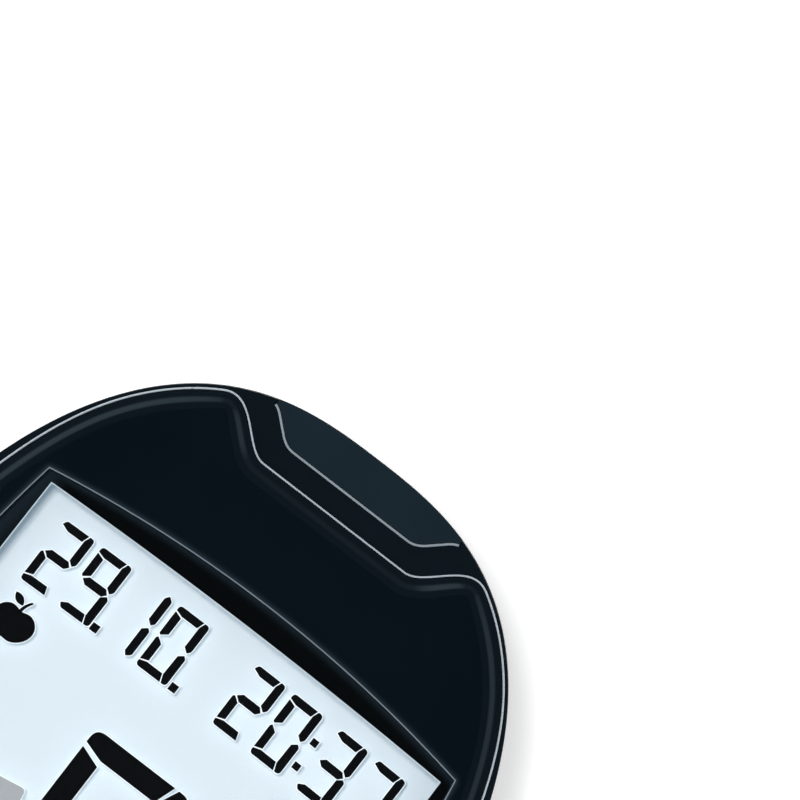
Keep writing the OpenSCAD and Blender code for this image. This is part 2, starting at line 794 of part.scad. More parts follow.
// The negative cap faces up, towards the spring contact
module cell(s) color("#c9cdd0") {
    at = [s * cell_x, cell_y];
    peg(at, cell_z, cell_top_z - cell_cap_h, cell_d / 2);
    peg(at, cell_top_z - cell_cap_h, cell_top_z, cell_d / 2 - cell_cap_rim);
}

// A flat leaf against the cell's rim, and a leaf that springs down onto its cap
module plus_contact(s) color("#d0c690") translate([s * cell_x, 0, 0])
    wide_block(leaf_x, plus_y, plus_y + leaf_t, cell_z + cell_gap, board_z);

module minus_contact(s) color("#d0c690") {
    knee = minus_run + minus_drop;
    tip = knee + minus_tip;
    translate([s * cell_x - leaf_x, minus_y, 0])
    rotate([90, 0, 90]) linear_extrude(2 * leaf_x)
        polygon([
            [0, board_z], [leaf_t, board_z], [leaf_t, roof_z], [minus_run, roof_z],
            [knee, cell_top_z + leaf_t], [tip, cell_top_z + leaf_t], [tip, cell_top_z],
            [knee - leaf_t / 2, cell_top_z], [minus_run - leaf_t / 2, roof_z - leaf_t],
            [0, roof_z - leaf_t]
        ]);
}

module grip(s) color("#2b3840") mirror([s < 0 ? 1 : 0, 0, 0])
    flank_band(0, grip_t, grip_back_y, grip_front_y, grip_low_z, deck_z);

module foot(at) color("#202226") peg(at, 0, back_z + foot_seat, foot_r);

module case_screw(at) color("#a8acb0") difference() {
    union() {
        peg(at, screw_seat_z - screw_head_h, screw_seat_z, screw_head_r);
        peg(at, screw_seat_z, deck_under_z - screw_short, screw_r);
    }
    cross_recess(at, screw_seat_z - screw_head_h, screw_head_r);
}

module board_screw(at) color("#a8acb0") difference() {
    union() {
        peg(at, board_top_z, board_top_z + board_screw_head_h, board_screw_head_r);
        peg(at, board_z - board_screw_l, board_top_z, board_screw_r);
    }
    cross_recess(at, board_top_z + board_screw_head_h, board_screw_head_r);
}

rear_case();
front_case();
face_cover();
face_trim();
port_hood();
port_trim();
display_window();
window_mask();
display_gasket();
display_glass();
light_guide();
display_frame();
zebra(glass_high_y - zebra_w);  // zebra_upper
zebra(glass_low_y);  // zebra_lower
main_board();
chip(processor_at, [processor_w, processor_w, processor_t]);  // processor_chip
chip(memory_at, [memory_w, memory_l, memory_t]);  // memory_chip
chip(crystal_at, [crystal_l, crystal_w, crystal_t]);  // crystal_can
can(buzzer_at, buzzer_r, buzzer_h);  // buzzer
strip_socket();
data_socket();
keypad_sheet();
for (k = [0 : 2]) {
    key(k);
    dome(k);
    pill(k);
}
battery_door();
for (i = [0 : 1]) {
    side = 2 * i - 1;
    cell(side);
    plus_contact(side);
    minus_contact(side);
    grip(side);
    board_screw(board_screws_at[i]);
}
for (n = [1 : 3]) {
    strip_contact(finger_pitch * (n - 2));
    can(capacitor_at + [0, capacitor_pitch * (n - 1)], capacitor_r, capacitor_h);
}
for (n = [1 : 4]) {
    foot(feet_at[n - 1]);
    case_screw(screws_at[n - 1]);
}
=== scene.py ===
import bmesh
import bpy
import numpy as np
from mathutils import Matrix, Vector
from mathutils.geometry import tessellate_polygon


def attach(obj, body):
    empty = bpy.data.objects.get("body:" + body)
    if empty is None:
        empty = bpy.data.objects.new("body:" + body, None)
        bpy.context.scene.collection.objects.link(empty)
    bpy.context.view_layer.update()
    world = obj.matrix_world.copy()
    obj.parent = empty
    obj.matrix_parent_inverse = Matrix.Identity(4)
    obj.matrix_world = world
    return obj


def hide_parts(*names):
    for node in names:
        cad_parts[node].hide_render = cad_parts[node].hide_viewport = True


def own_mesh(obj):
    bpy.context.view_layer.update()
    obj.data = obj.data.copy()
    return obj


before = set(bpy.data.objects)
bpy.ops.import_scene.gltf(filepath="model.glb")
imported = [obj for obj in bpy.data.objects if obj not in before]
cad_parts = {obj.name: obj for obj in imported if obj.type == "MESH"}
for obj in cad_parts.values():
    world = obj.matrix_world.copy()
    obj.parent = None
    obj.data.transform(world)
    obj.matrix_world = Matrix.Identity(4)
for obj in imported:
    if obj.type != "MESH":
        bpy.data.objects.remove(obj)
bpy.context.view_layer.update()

# Lengths below are millimetres until a mesh is made: +x right, +y towards the strip port at the
# head, +z out of the display.

# --- Rear case -------------------------------------------------------------------------------
# The lower half of the housing, moulded in blue-black ABS with a fine spark-eroded grain. It is
# one shell with bosses for the screws, wells for the two coin cells and seats for the front feet.
MM = 0.001
HALF_WIDTH, HEAD, BELLY = 32.5, 49.0, 7.0
SIDE_POWER, HEAD_POWER, TAIL_POWER = 2.7, 2.0, 2.4
BACK, FLOOR, SEAM, DECK = 0.6, 2.2, 10.8, 18.4
BACK_ROUND_WIDE, BACK_ROUND_HIGH, WALL_LEAN = 5.5, 8.0, 0.06
GRIP_TAIL, GRIP_HEAD, GRIP_LOW = -24.0, 26.5, 6.0
CELL_PLACES = [(-10.6, -27.0), (10.6, -27.0)]
FRONT_FEET = [(-19.5, 24.0), (19.5, 24.0)]
CASE_SCREWS = [(-16.5, 34.0), (16.5, 34.0), (-8.0, -41.0), (8.0, -41.0)]
BOARD_SCREWS = [(-27.8, 8.0), (27.8, 8.0)]
CASE_BOSS, BOARD_BOSS, CELL_WELL, FOOT_SEAT = 2.9, 2.2, 10.3, 3.05
SOUND_HOLES = (-18.0, 16.0)


def power(values, exponent):
    """Signed power: the size of each value raised to the exponent, its sign kept."""
    return np.sign(values) * np.abs(values) ** exponent


def superellipse(turn):
    """The body's outline: x is the cosine to the power of 2 over the side's number, and y the sine
    to 2 over the head's number ahead of the belly, and over the tail's number behind it."""
    ahead = np.sin(turn) >= 0
    reach = np.where(ahead, HEAD - BELLY, HEAD + BELLY)
    along = BELLY + reach * power(np.sin(turn), 2 / np.where(ahead, HEAD_POWER, TAIL_POWER))
    return np.column_stack([HALF_WIDTH * power(np.cos(turn), 2 / SIDE_POWER), along])


def even(path, count):
    """A closed path resampled at equal steps of its length, straight between its points."""
    closed = np.vstack([path, path[:1]])
    run = np.append(0, np.cumsum(np.linalg.norm(np.diff(closed, axis=0), axis=1)))
    wanted = np.linspace(0, run[-1], count, endpoint=False)
    return np.column_stack([np.interp(wanted, run, closed[:, k]) for k in (0, 1)])


def inward(path, depth):
    """A closed anticlockwise path moved inwards: each point goes along the sum of its two edges'
    normals, divided by how far that sum reaches along one of them, or by 0.9 where that is less."""
    ahead = np.roll(path, -1, axis=0) - path
    ahead = np.column_stack([ahead[:, 1], -ahead[:, 0]]) / np.linalg.norm(ahead, axis=1)[:, None]
    mitre = ahead + np.roll(ahead, 1, axis=0)
    mitre = mitre / np.maximum((mitre * ahead).sum(axis=1), 0.9)[:, None]
    return path - np.reshape(depth, (-1, 1)) * mitre


def stack(path, *steps):
    """Rings of one path: each step is how far inwards the ring lies, and its height."""
    return np.stack([
        np.column_stack([inward(path, depth), np.broadcast_to(height, len(path))])
        for depth, height in steps
    ])


def skin(*walls, ringed=False):
    """Points, quads and triangles of a closed body. Each wall is a stack of rings with quads
    between them; flat caps join the first rings of all walls, and the last ones, or the last
    ring of each wall joins its first one if ringed."""
    quads, lows, highs, start = [], [], [], 0
    for wall in walls:
        rings, count = wall.shape[:2]
        near = np.arange(count)
        far = np.roll(near, -1)
        low = start + count * np.arange(rings)[:, None]
        high = np.roll(low, -1, axis=0)
        sides = np.stack([low + near, low + far, high + far, high + near], axis=-1)
        quads.append(sides[: None if ringed else -1].reshape(-1, 4))
        lows.append(start + near)
        highs.append(start + count * (rings - 1) + near)
        start += rings * count
    points = np.vstack([wall.reshape(-1, 3) for wall in walls])
    caps = [np.empty((0, 3), int)]
    for loops in () if ringed else (lows, highs):
        corners = tessellate_polygon([points[loop].tolist() for loop in loops])
        caps.append(np.concatenate(loops)[np.array(corners)])
    return points, np.vstack(quads), np.vstack(caps)


def shaped(name, *skins):
    """One object from skins in millimetres, its faces turned outwards."""
    faces, start = [], 0
    for points, quads, triangles in skins:
        faces += (quads + start).tolist() + (triangles + start).tolist()
        start += len(points)
    mesh = bpy.data.meshes.new(name)
    mesh.from_pydata((np.vstack([points for points, *_ in skins]) * MM).tolist(), [], faces)
    turned = bmesh.new()
    turned.from_mesh(mesh)
    bmesh.ops.recalc_face_normals(turned, faces=turned.faces)
    turned.to_mesh(mesh)
    turned.free()
    piece = bpy.data.objects.new(name, mesh)
    bpy.context.collection.objects.link(piece)
    return piece


def solid(name, *walls, ringed=False):
    """One object from a single closed body."""
    return shaped(name, skin(*walls, ringed=ringed))


def block(low, high):
    """A box between two corners."""
    (x0, y0, z0), (x1, y1, z1) = low, high
    return solid("tool", stack(np.array([[x0, y0], [x1, y0], [x1, y1], [x0, y1]]), (0, z0), (0, z1)))


def wide_block(x, y0, y1, z0, z1):
    """A box that reaches x to either side of the middle."""
    return block((-x, y0, z0), (x, y1, z1))


def circle(at, radius, count=64):
    """Points round a place: the radius times the cosine and sine of equal turns."""
    turn = np.linspace(0, 2 * np.pi, count, endpoint=False)
    return np.array(at) + radius * np.column_stack([np.cos(turn), np.sin(turn)])


def post(at, z0, z1, radius):
    """A round post between two heights."""
    return solid("tool", stack(circle(at, radius), (0, z0), (0, z1)))


def carve(piece, how, *tools):
    """Adds, cuts or intersects a piece with tools one by one, then deletes the tools."""
    for tool in tools:
        step = piece.modifiers.new("carve", "BOOLEAN")
        step.operation, step.solver, step.object = how, "EXACT", tool
        shape = piece.evaluated_get(bpy.context.evaluated_depsgraph_get())
        carved = bpy.data.meshes.new_from_object(shape)
        piece.modifiers.clear()
        piece.data = carved
        bpy.data.objects.remove(tool)


def back_skin(height):
    """Inset of the flank: a quarter of an ellipse at the back, and above the seam a slight lean
    that grows with the square of the height."""
    below = np.clip(1 - (height - BACK) / BACK_ROUND_HIGH, 0, 1)
    above = np.clip((height - SEAM) / (DECK - SEAM), 0, 1)
    low = BACK_ROUND_WIDE * (1 - np.sqrt(1 - below ** 2))
    return np.where(height < BACK + BACK_ROUND_HIGH, low, WALL_LEAN * above ** 2)


OUTLINE = even(superellipse(np.linspace(0, 2 * np.pi, 20000, endpoint=False)), 480)
back_heights = BACK + BACK_ROUND_HIGH * (1 - np.cos(np.radians(np.linspace(0, 90, 13))))
back_steps = [(BACK_ROUND_WIDE + 0.3, BACK)] + [(back_skin(z), z) for z in back_heights]


def flank_band(name, outside, inside, y0, y1, z0, z1, side):
    """A slab of the flank's skin: the body's outline solved for x and moved inwards along its
    normal, by a function of u along it and v up it, from 0 to 1, and by one depth inside."""
    u = np.linspace(0, 1, 49)
    y = y0 + (y1 - y0) * u
    reach = np.where(y >= BELLY, HEAD - BELLY, HEAD + BELLY)
    exponent = np.where(y >= BELLY, HEAD_POWER, TAIL_POWER)
    x = HALF_WIDTH * (1 - (np.abs(y - BELLY) / reach) ** exponent) ** (1 / SIDE_POWER)
    slope = np.gradient(x, y)
    lean = np.column_stack([np.ones_like(y), -slope]) / np.hypot(1, slope)[:, None]
    rings = []
    for v in np.linspace(0, 1, 25):
        z = z0 + (z1 - z0) * v
        flank = np.column_stack([x, y]) - back_skin(z) * lean
        outer = flank - np.reshape(outside(u, v) * np.ones_like(u), (-1, 1)) * lean
        path = np.vstack([outer, (flank - inside * lean)[::-1]])
        rings.append(np.column_stack([path[:, 0] * side, path[:, 1], np.full(len(path), z)]))
    return solid(name, np.stack(rings))


def grip_pockets():
    """Room for the rubber grips: 0.95 deep and 0.05 larger all round."""
    ends = (GRIP_TAIL - 0.05, GRIP_HEAD + 0.05, GRIP_LOW - 0.05, DECK + 1)
    return [flank_band("tool", lambda u, v: -1, 0.95, *ends, side) for side in (-1, 1)]


def door_space(gap):
    """Blocks that hold the battery door: its plate, its upturned tail and its rails. With a gap
    they are its room in the case, where the rails' grooves run on past the tail."""
    return [
        wide_block(22 + gap, -50, -14.5 + gap, BACK - 1, FLOOR + gap),
        wide_block(12 + gap, -50, -45.5 + gap, BACK - 1, 5.2 + gap),
        wide_block(22.7 + gap, -50 if gap else -30, -16 + gap, 1.3 - gap, 2.0 + gap),
    ]


rear_case = solid("rear_shell", stack(
    OUTLINE, *back_steps, (0, SEAM - 0.15), (0.15, SEAM), (2, SEAM), (2, 4.6), (4.2, 4.6),
    (4.2, FLOOR), (4.6, FLOOR),
))
# The bay is the thick floor that the cells' wells and the door's grooves are cut into.
bosses = [(at, CASE_BOSS) for at in CASE_SCREWS] + [(at, BOARD_BOSS) for at in BOARD_SCREWS]
bay = wide_block(24.2, -40.2, -12.3, 1.8, 7.5)
carve(bay, "UNION", *(post(at, 1.8, 7.0, radius) for at, radius in bosses))
carve(bay, "INTERSECT", solid("tool", stack(OUTLINE, (3.4, 1), (3.4, 9))))
carve(rear_case, "UNION", bay, *(post(at, 4.2, 9.99, radius) for at, radius in bosses))
carve(
    rear_case, "DIFFERENCE", *door_space(0.15), *(post(at, 0, 6.5, CELL_WELL) for at in CELL_PLACES),
    *(block((x - 2.05, -17.03, FLOOR), (x + 2.05, -16.73, 8.5)) for x, y in CELL_PLACES),
    *(block((x - 2.05, -33.25, 5.5), (x + 2.05, -32.95, 8.5)) for x, y in CELL_PLACES),
    *(post(at, -1, 4.0, 2.15) for at in CASE_SCREWS),
    *(post(at, 0, 11, 1.15) for at in CASE_SCREWS),
    *(post(at, FLOOR, 11, 0.82) for at in BOARD_SCREWS),
    *(post(at, -1, 1.2, FOOT_SEAT) for at in FRONT_FEET),
    *(post(at, -1, 3.2, 0.6) for at in circle(SOUND_HOLES, 1.6, 3)),
    *grip_pockets(),
)


class Tone:
    """A number or colour inside a finish. Arithmetic on it adds Math nodes."""

    def __init__(self, nodes, socket):
        self.nodes, self.socket = nodes, socket

    def reckon(operation, swapped=False):
        """A method that adds a Math node; swapped puts the other number first."""
        def method(self, other=0.0):
            pair = (other, self) if swapped else (self, other)
            return self.nodes.node("Math", {"operation": operation}, dict(enumerate(pair)))
        return method

    __add__ = __radd__ = reckon("ADD")
    __mul__ = __rmul__ = reckon("MULTIPLY")
    __sub__, __rsub__ = reckon("SUBTRACT"), reckon("SUBTRACT", True)
    __truediv__, __pow__, __abs__ = reckon("DIVIDE"), reckon("POWER"), reckon("ABSOLUTE")
    most, wrap = reckon("MAXIMUM"), reckon("FRACT")

    def fade(self, low, high):
        """0 below low, 1 above high, and smooth between them."""
        return self.nodes.node(
            "MapRange", {"interpolation_type": "SMOOTHSTEP"},
            {"Value": self, "From Min": low, "From Max": high},
        )


class Nodes:
    """The nodes of one material or of the world."""

    def __init__(self, tree):
        self.tree = tree

    def node(self, kind, settings, sockets, output=0):
        """Adds one node: its settings first, then a value or a link for each socket."""
        made = self.tree.nodes.new("ShaderNode" + kind)
        for name, value in settings.items():
            setattr(made, name, value)
        for key, value in sockets.items():
            if isinstance(value, Tone):
                self.tree.links.new(value.socket, made.inputs[key])
            else:
                made.inputs[key].default_value = value
        return Tone(self, made.outputs[output])

    def place(self, axes):
        """Where a point of the piece is along each of the axes, in millimetres."""
        where = self.node("TexCoord", {}, {}, "Object")
        return [self.node("SeparateXYZ", {}, {0: where}, axis) * 1000 for axis in axes]

    def speckle(self, size, detail, roughness=0.5):
        """Noise with a grain of the given size."""
        where = self.node("TexCoord", {}, {}, "Object")
        return self.node(
            "TexNoise", {},
            {"Vector": where, "Scale": 1 / (size * MM), "Detail": detail, "Roughness": roughness},
        )

    def blend(self, share, first, second):
        """The first colour where the share is 0, the second where it is 1."""
        first, second = (c if isinstance(c, Tone) else (*c, 1) for c in (first, second))
        return self.node("Mix", {"data_type": "RGBA"}, {0: share, 6: first, 7: second}, 2)


class Finish(Nodes):
    """A procedural material around one Principled shader."""

    def __init__(self, name, **constants):
        self.material = bpy.data.materials.new(name)
        self.material.use_nodes = True
        super().__init__(self.material.node_tree)
        self.shader = self.tree.nodes["Principled BSDF"]
        for key, value in constants.items():
            colour = isinstance(value, tuple)
            self.shader.inputs[key.replace("_", " ")].default_value = (*value, 1) if colour else value

    def feed(self, **tones):
        """Links each tone to the shader's socket of that name."""
        for key, tone in tones.items():
            self.tree.links.new(tone.socket, self.shader.inputs[key.replace("_", " ")])
        return self

    def relief(self, height, depth):
        """Bumps of the given depth in millimetres where the height goes from 0 to 1."""
        bump = self.node("Bump", {}, {"Height": height, "Distance": depth * MM})
        return self.feed(Normal=bump)


def moulded(name, colour, roughness, grain, depth, **constants):
    """Moulded plastic: its colour and gloss drift a little, and a fine grain covers it."""
    finish = Finish(name, **constants)
    drift = finish.speckle(9, 3).fade(0.3, 0.7)
    fine = finish.speckle(grain, 2)
    darker = tuple(0.86 * c for c in colour)
    lighter = tuple(min(1, 1.12 * c) for c in colour)
    finish.feed(Base_Color=finish.blend(0.6 * drift + 0.4 * fine, darker, lighter))
    finish.feed(Roughness=roughness * (0.88 + 0.16 * drift + 0.1 * fine))
    return finish.relief(fine, depth)


def fit(piece, finish, slot, body, *nodes, sharp=35):
    """Dresses a new piece, evens its shading, hangs it on its body, and hides the CAD nodes that it
    stands for.
    """
    piece.data.materials.clear()
    piece.data.materials.append(finish.material)
    piece.data.shade_smooth()
    piece.data.set_sharp_from_angle(angle=np.radians(sharp))
    piece.modifiers.new("even_shading", "WEIGHTED_NORMAL").keep_sharp = True
    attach(piece, body)
    if nodes:
        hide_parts(*nodes)


case_plastic = moulded(
    "case_plastic", (0.0022, 0.0055, 0.0082), 0.46, 0.22, 0.01, Specular_IOR_Level=0.3,
)
fit(rear_case, case_plastic, "case_dark", "meter", "rear_case")

# --- Battery door ----------------------------------------------------------------------------
# A lid moulded in the same ABS, with its own tail and two rails that run in grooves of the rear
# case. Five ribs for the thumb are sunk into it, and it slides off towards the tail.
REAR_FEET = [(-13.0, -35.0), (13.0, -35.0)]
RIBS_AT, RIB, RIB_PITCH = -19.9, 0.8, 1.6
door = solid("door_plate", stack(OUTLINE, *back_steps, (0, SEAM), (1, SEAM)))
plate, tail, rails = door_space(0)
carve(plate, "UNION", tail, rails)
carve(door, "INTERSECT", plate)
carve(door, "DIFFERENCE", *(post(at, -1, 1.2, FOOT_SEAT) for at in REAR_FEET))
for n in range(5):
    rib_back = RIBS_AT - RIB_PITCH * n
    carve(door, "DIFFERENCE", wide_block(7 - n, rib_back, rib_back + RIB, 0, 1.0))
fit(door, case_plastic, "case_dark", "battery_door_body", "battery_door")

# --- Feet ------------------------------------------------------------------------------------
# Four soft rubber discs with a rounded rim, glued into shallow seats: two in the rear case and
# two in the battery door, which carries them along.


def arc(at, across, high, start, end, count=8):
    """Part of an ellipse as (radius, height) pairs, from one angle to another in degrees."""
    turn = np.radians(np.linspace(start, end, count))
    return np.column_stack([at[0] + across * np.cos(turn), at[1] + high * np.sin(turn)])


def lathe(name, at, *profile, count=96):
    """A profile of (radius, height) pairs turned about the upright line through a place: x is the
    radius times the cosine of the turn, and y times its sine."""
    turn = np.linspace(0, 2 * np.pi, count, endpoint=False)
    radius, height = np.vstack(profile).T[:, :, None]
    rings = [at[0] + radius * np.cos(turn), at[1] + radius * np.sin(turn), height + 0 * turn]
    return solid(name, np.stack(rings, axis=-1))


foot_rubber = moulded("foot_rubber", (0.014, 0.015, 0.017), 0.78, 0.35, 0.02)
feet = [(at, "meter") for at in FRONT_FEET] + [(at, "battery_door_body") for at in REAR_FEET]
for n, (at, body) in enumerate(feet, 1):
    foot = lathe(
        f"foot_pad_{n}", at, [(0.05, 0), (2, 0), (2.55, 0)], arc((2.55, 0.45), 0.45, 0.45, -90, 0),
        [(3, 1.2), (0.05, 1.2)],
    )
    fit(foot, foot_rubber, "foot_rubber", body, f"foot_{n}")

# --- Coin cells and their contacts -----------------------------------------------------------
# Two lithium coin cells of 20 by 3.2 mm: a nickel-plated steel can with a plus sign pressed into
# its flat face, and a smaller cap on top. Flat nickel leaves press on the rim and on the cap.


def metal(name, colour, roughness, shine=1.0):
    """Plated metal: faint smears in the gloss and a very fine unevenness."""
    finish = Finish(name, Metallic=shine)
    smear = finish.speckle(3.5, 4, 0.6).fade(0.3, 0.75)
    fine = finish.speckle(0.5, 3)
    finish.feed(Base_Color=finish.blend(smear, tuple(0.9 * c for c in colour), colour))
    finish.feed(Roughness=roughness * (0.8 + 0.35 * smear + 0.1 * fine))
    return finish.relief(fine, 0.004)


for side, at in zip(("left", "right"), CELL_PLACES):
    steel = metal(f"{side}_cell_steel", (0.55, 0.56, 0.57), 0.27)
    x, y, z = steel.place("XYZ")
    across, along = abs(x - at[0]), abs(y - at[1])
    bars = (1 - across.fade(0.33, 0.42)) * (1 - along.fade(2.1, 2.2))
    bars = bars.most((1 - along.fade(0.33, 0.42)) * (1 - across.fade(2.1, 2.2)))
    steel.relief(0.02 * steel.speckle(0.5, 3) - bars * (1 - z.fade(2.6, 2.8)), 0.12)
    cell = lathe(
        f"{side}_coin_cell", at, [(0.05, 2.5), (9, 2.5)], arc((9.55, 2.95), 0.45, 0.45, -90, 0),
        [(10, 5.2)], arc((9.8, 5.2), 0.2, 0.2, 0, 90), [(9.1, 5.4), (9.0, 5.33), (8.75, 5.33)],
        arc((8.45, 5.5), 0.25, 0.2, 0, 90), [(0.05, 5.7)],
    )
    fit(cell, steel, "cell_steel", "meter", f"{side}_cell")


def dress(finish, *names):
    """Gives CAD nodes a finish of their own."""
    for name in names:
        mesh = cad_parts[name].data
        mesh.materials.clear()
        mesh.materials.append(finish.material)


dress(
    metal("contact_nickel", (0.62, 0.6, 0.52), 0.3), "left_plus_contact", "right_plus_contact",
    "left_minus_contact", "right_minus_contact",
)

# --- Main board and its parts ----------------------------------------------------------------
# A green solder-masked board of glass fibre on four posts. Below it sit the processor, a memory
# chip, a crystal, three capacitors and the buzzer, soldered and out of sight in use.
mask_green = Finish("solder_mask", Coat_Weight=0.4, Coat_Roughness=0.15)
[x] = mask_green.place("X")
lines = (abs((x * 0.5).wrap() - 0.5) - 0.32).fade(0, 0.05)
tracks = lines * (mask_green.speckle(5, 0) - 0.45).fade(0, 0.02)
mask_green.feed(
    Base_Color=mask_green.blend(tracks, (0.006, 0.075, 0.022), (0.014, 0.14, 0.045)),
    Roughness=0.42 - 0.1 * tracks,
).relief(tracks, 0.03)
dress(mask_green, "main_board")
chip_epoxy = moulded("chip_epoxy", (0.012, 0.012, 0.013), 0.5, 0.15, 0.008)
dress(chip_epoxy, "processor_chip", "memory_chip")
dress(
    metal("can_metal", (0.6, 0.61, 0.62), 0.25), "crystal_can", "buzzer", "capacitor_1",
    "capacitor_2", "capacitor_3",
)

# --- Sockets ---------------------------------------------------------------------------------
# The strip socket is ivory nylon with three gold-plated fingers over its slot. The data socket
# at the tail is a folded tin-plated shell. Both are soldered to the board.
dress(moulded("socket_nylon", (0.62, 0.58, 0.47), 0.5, 0.3, 0.01), "strip_socket")
dress(metal("finger_gold", (0.83, 0.56, 0.2), 0.24), *(f"strip_contact_{n}" for n in (1, 2, 3)))
dress(metal("tin_plate", (0.55, 0.56, 0.57), 0.3), "data_socket")
tongue_plastic = moulded("tongue_plastic", (0.012, 0.012, 0.013), 0.5, 0.2, 0.006)
tongue = block((-2.6, -47.6, 12.25), (2.6, -43.2, 12.85))
tongue.name = "data_tongue"
tongue.modifiers.new("eased", "BEVEL").width = 0.08 * MM
fit(tongue, tongue_plastic, "socket_ivory", "meter")

# --- Keypad ----------------------------------------------------------------------------------
# A silicone sheet on the board with a hollow dome under each key, which folds down as the key is
# pressed. A carbon pill inside the dome then bridges the board's pads.
KEYS = {"power": (0.0, -30.5, 6.5), "up": (16.5, -26.0, 4.8), "down": (-16.5, -26.0, 4.8)}
BOARD_TOP, DOME_TOP, TRAVEL = 11.2, 12.8, 0.6


def skirt(start, end):
    """A dome's slope between two (radius, height) points: straight, less one wave of a sine."""
    t = np.linspace(0, 1, 9)
    radius = start[0] + (end[0] - start[0]) * (t - 0.1 * np.sin(2 * np.pi * t))
    return np.column_stack([radius, start[1] + (end[1] - start[1]) * t])


silicone = moulded("silicone", (0.3, 0.32, 0.34), 0.6, 0.4, 0.01, Subsurface_Weight=0.1)
dress(silicone, "keypad_sheet")
carbon = moulded("carbon_pill", (0.01, 0.01, 0.01), 0.7, 0.2, 0.01)
for key, (x, y, radius) in KEYS.items():
    dress(carbon, f"{key}_pill")
    dome = lathe(
        f"{key}_snap_dome", (x, y), [(0.05, 12.3)], skirt((1.5, 12.3), (2.9, BOARD_TOP)),
        skirt((3.4, BOARD_TOP), (2.0, 12.7)), [(1.9, DOME_TOP), (0.05, DOME_TOP)], count=64,
    )
    fit(dome, silicone, "silicone", "meter", f"{key}_dome")
    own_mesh(dome)

# --- Display ---------------------------------------------------------------------------------
# A segment display: a lit white reflector below, black segments in the liquid between two sheets
# of glass. A white frame holds it over its light guide, zebra strips carry its signals, and a
# foam gasket keeps dust out.
CELL_FLOOR = 15.0
SEGMENTS, SEGMENT_EDGES, EDGE_WIDTH = (16.2, 16.24), (16.16, 16.19), 0.09
SMALL_LOW, BIG_LOW = 19.15, -9.4


def rounded(corners, radii):
    """A polygon whose corners with a radius become parabolic bends: the corner's two tangent
    points and the corner itself, weighted by (1 - t) squared, t squared and 2 t (1 - t)."""
    t = np.linspace(0, 1, 7)[:, None]
    path = []
    for k, radius in enumerate(radii):
        before, corner, after = (np.array(corners[(k + d) % len(corners)]) for d in (-1, 0, 1))
        if not radius:
            path.append(corner[None])
            continue
        start = corner + radius * (before - corner) / np.linalg.norm(before - corner)
        end = corner + radius * (after - corner) / np.linalg.norm(after - corner)
        path.append((1 - t) ** 2 * start + 2 * t * (1 - t) * corner + t ** 2 * end)
    return np.vstack(path)


def plates(name, outlines, z0, z1):
    """Flat plates of one thickness, as one object."""
    return shaped(name, *(skin(stack(path, (0, z0), (0, z1))) for path in outlines))


LIT = {
    "0": "abcdef", "1": "bc", "2": "abged", "3": "abgcd", "5": "afgcd", "7": "abc", "9": "abcdfg",
}


def digit(figure, left, low, w, h, s, gap):
    """Outlines of the lit segments of one figure, w wide and h high with strokes s wide. A row
    of corners is (x, y, bend), and a segment ends in a corner or a point by its neighbours."""
    m, g, lit = h / 2, gap / 2, LIT[figure]
    top_left = [(0.95 * s, h - s, 0), (0, h - 0.7 * s, 0), (0, h, 0.5 * s)]
    low_left = [(0, 0, 0.5 * s), (0, 0.7 * s, 0), (0.95 * s, s, 0)]
    if "f" not in lit:
        top_left = [(1.15 * s, h - s, 0), (0.1 * s, h - 0.58 * s, 0.1 * s), (0.4 * s, h, 0.25 * s)]
    if "e" not in lit:
        low_left = [(0.35 * s, 0, 0.25 * s), (0, 0.55 * s, 0.1 * s), (0.8 * s, s, 0)]
    top_right = [(w, h, 0.5 * s), (w - 0.76 * s + g, h, 0), (w - s, h - 0.75 * s, 0)]
    low_right = [(w - 1.06 * s, 0.95 * s, 0), (w - 0.76 * s + g, 0, 0), (w, 0, 0.5 * s)]
    if "a" not in lit:
        top_right = [(w, h - 0.45 * s, 0.2 * s), (w - 0.6 * s, h, 0.1 * s), (w - s, h - 0.5 * s, 0)]
    if "d" not in lit:
        low_right = [(w - s, 0.5 * s, 0), (w - 0.6 * s, 0, 0.1 * s), (w, 0.45 * s, 0.2 * s)]
    segments = {
        "a": [*top_left, (w - 0.76 * s - g, h, 0), (w - 1.1 * s - g, h - s, 0)],
        "b": [
            *top_right, (w - s, m + 0.72 * s, 0), (w - 0.38 * s, m + 0.24 * s, 0),
            (w, m + 0.64 * s, 0.2 * s),
        ],
        "c": [
            *low_right, (w, m - 0.42 * s, 0.2 * s), (w - 0.38 * s, m - 0.14 * s, 0),
            (w - s, m - 0.62 * s, 0),
        ],
        "d": [*low_left, (w - 1.1 * s - g, s, 0), (w - 0.76 * s - g, 0, 0)],
        "e": [
            (0, 0.7 * s + 2.1 * g, 0), (0, m - 0.32 * s, 0.1 * s), (0.22 * s, m - 0.13 * s, 0),
            (s, m - 0.68 * s, 0), (s, 1.05 * s + 2.1 * g, 0),
        ],
        "f": [
            (s, h - 1.05 * s - 2.1 * g, 0), (s, m + 0.72 * s, 0), (0.2 * s, m + 0.14 * s, 0),
            (0, m + 0.3 * s, 0.1 * s), (0, h - 0.7 * s - 2.1 * g, 0),
        ],
        "g": [
            (0.38 * s, m, 0), (s, m + 0.52 * s, 0), (w - 0.97 * s, m + 0.52 * s, 0),
            (w - 0.5 * s, m, 0), (w - 0.97 * s, m - 0.52 * s, 0), (s, m - 0.52 * s, 0),
        ],
    }
    shapes = [rounded([c[:2] for c in segments[k]], [c[2] for c in segments[k]]) for k in lit]
    return [anticlockwise(shape) + (left, low) for shape in shapes]


def anticlockwise(path):
    """The path turned round if its signed area is negative."""
    x, y = path.T
    area = (x * np.roll(y, -1) - np.roll(x, -1) * y).sum()
    return path if area > 0 else path[::-1]


def square(left, low, side):
    """A square dot from its left and low sides."""
    return np.array([left, low]) + side * np.array([[0, 0], [1, 0], [1, 1], [0, 1]])


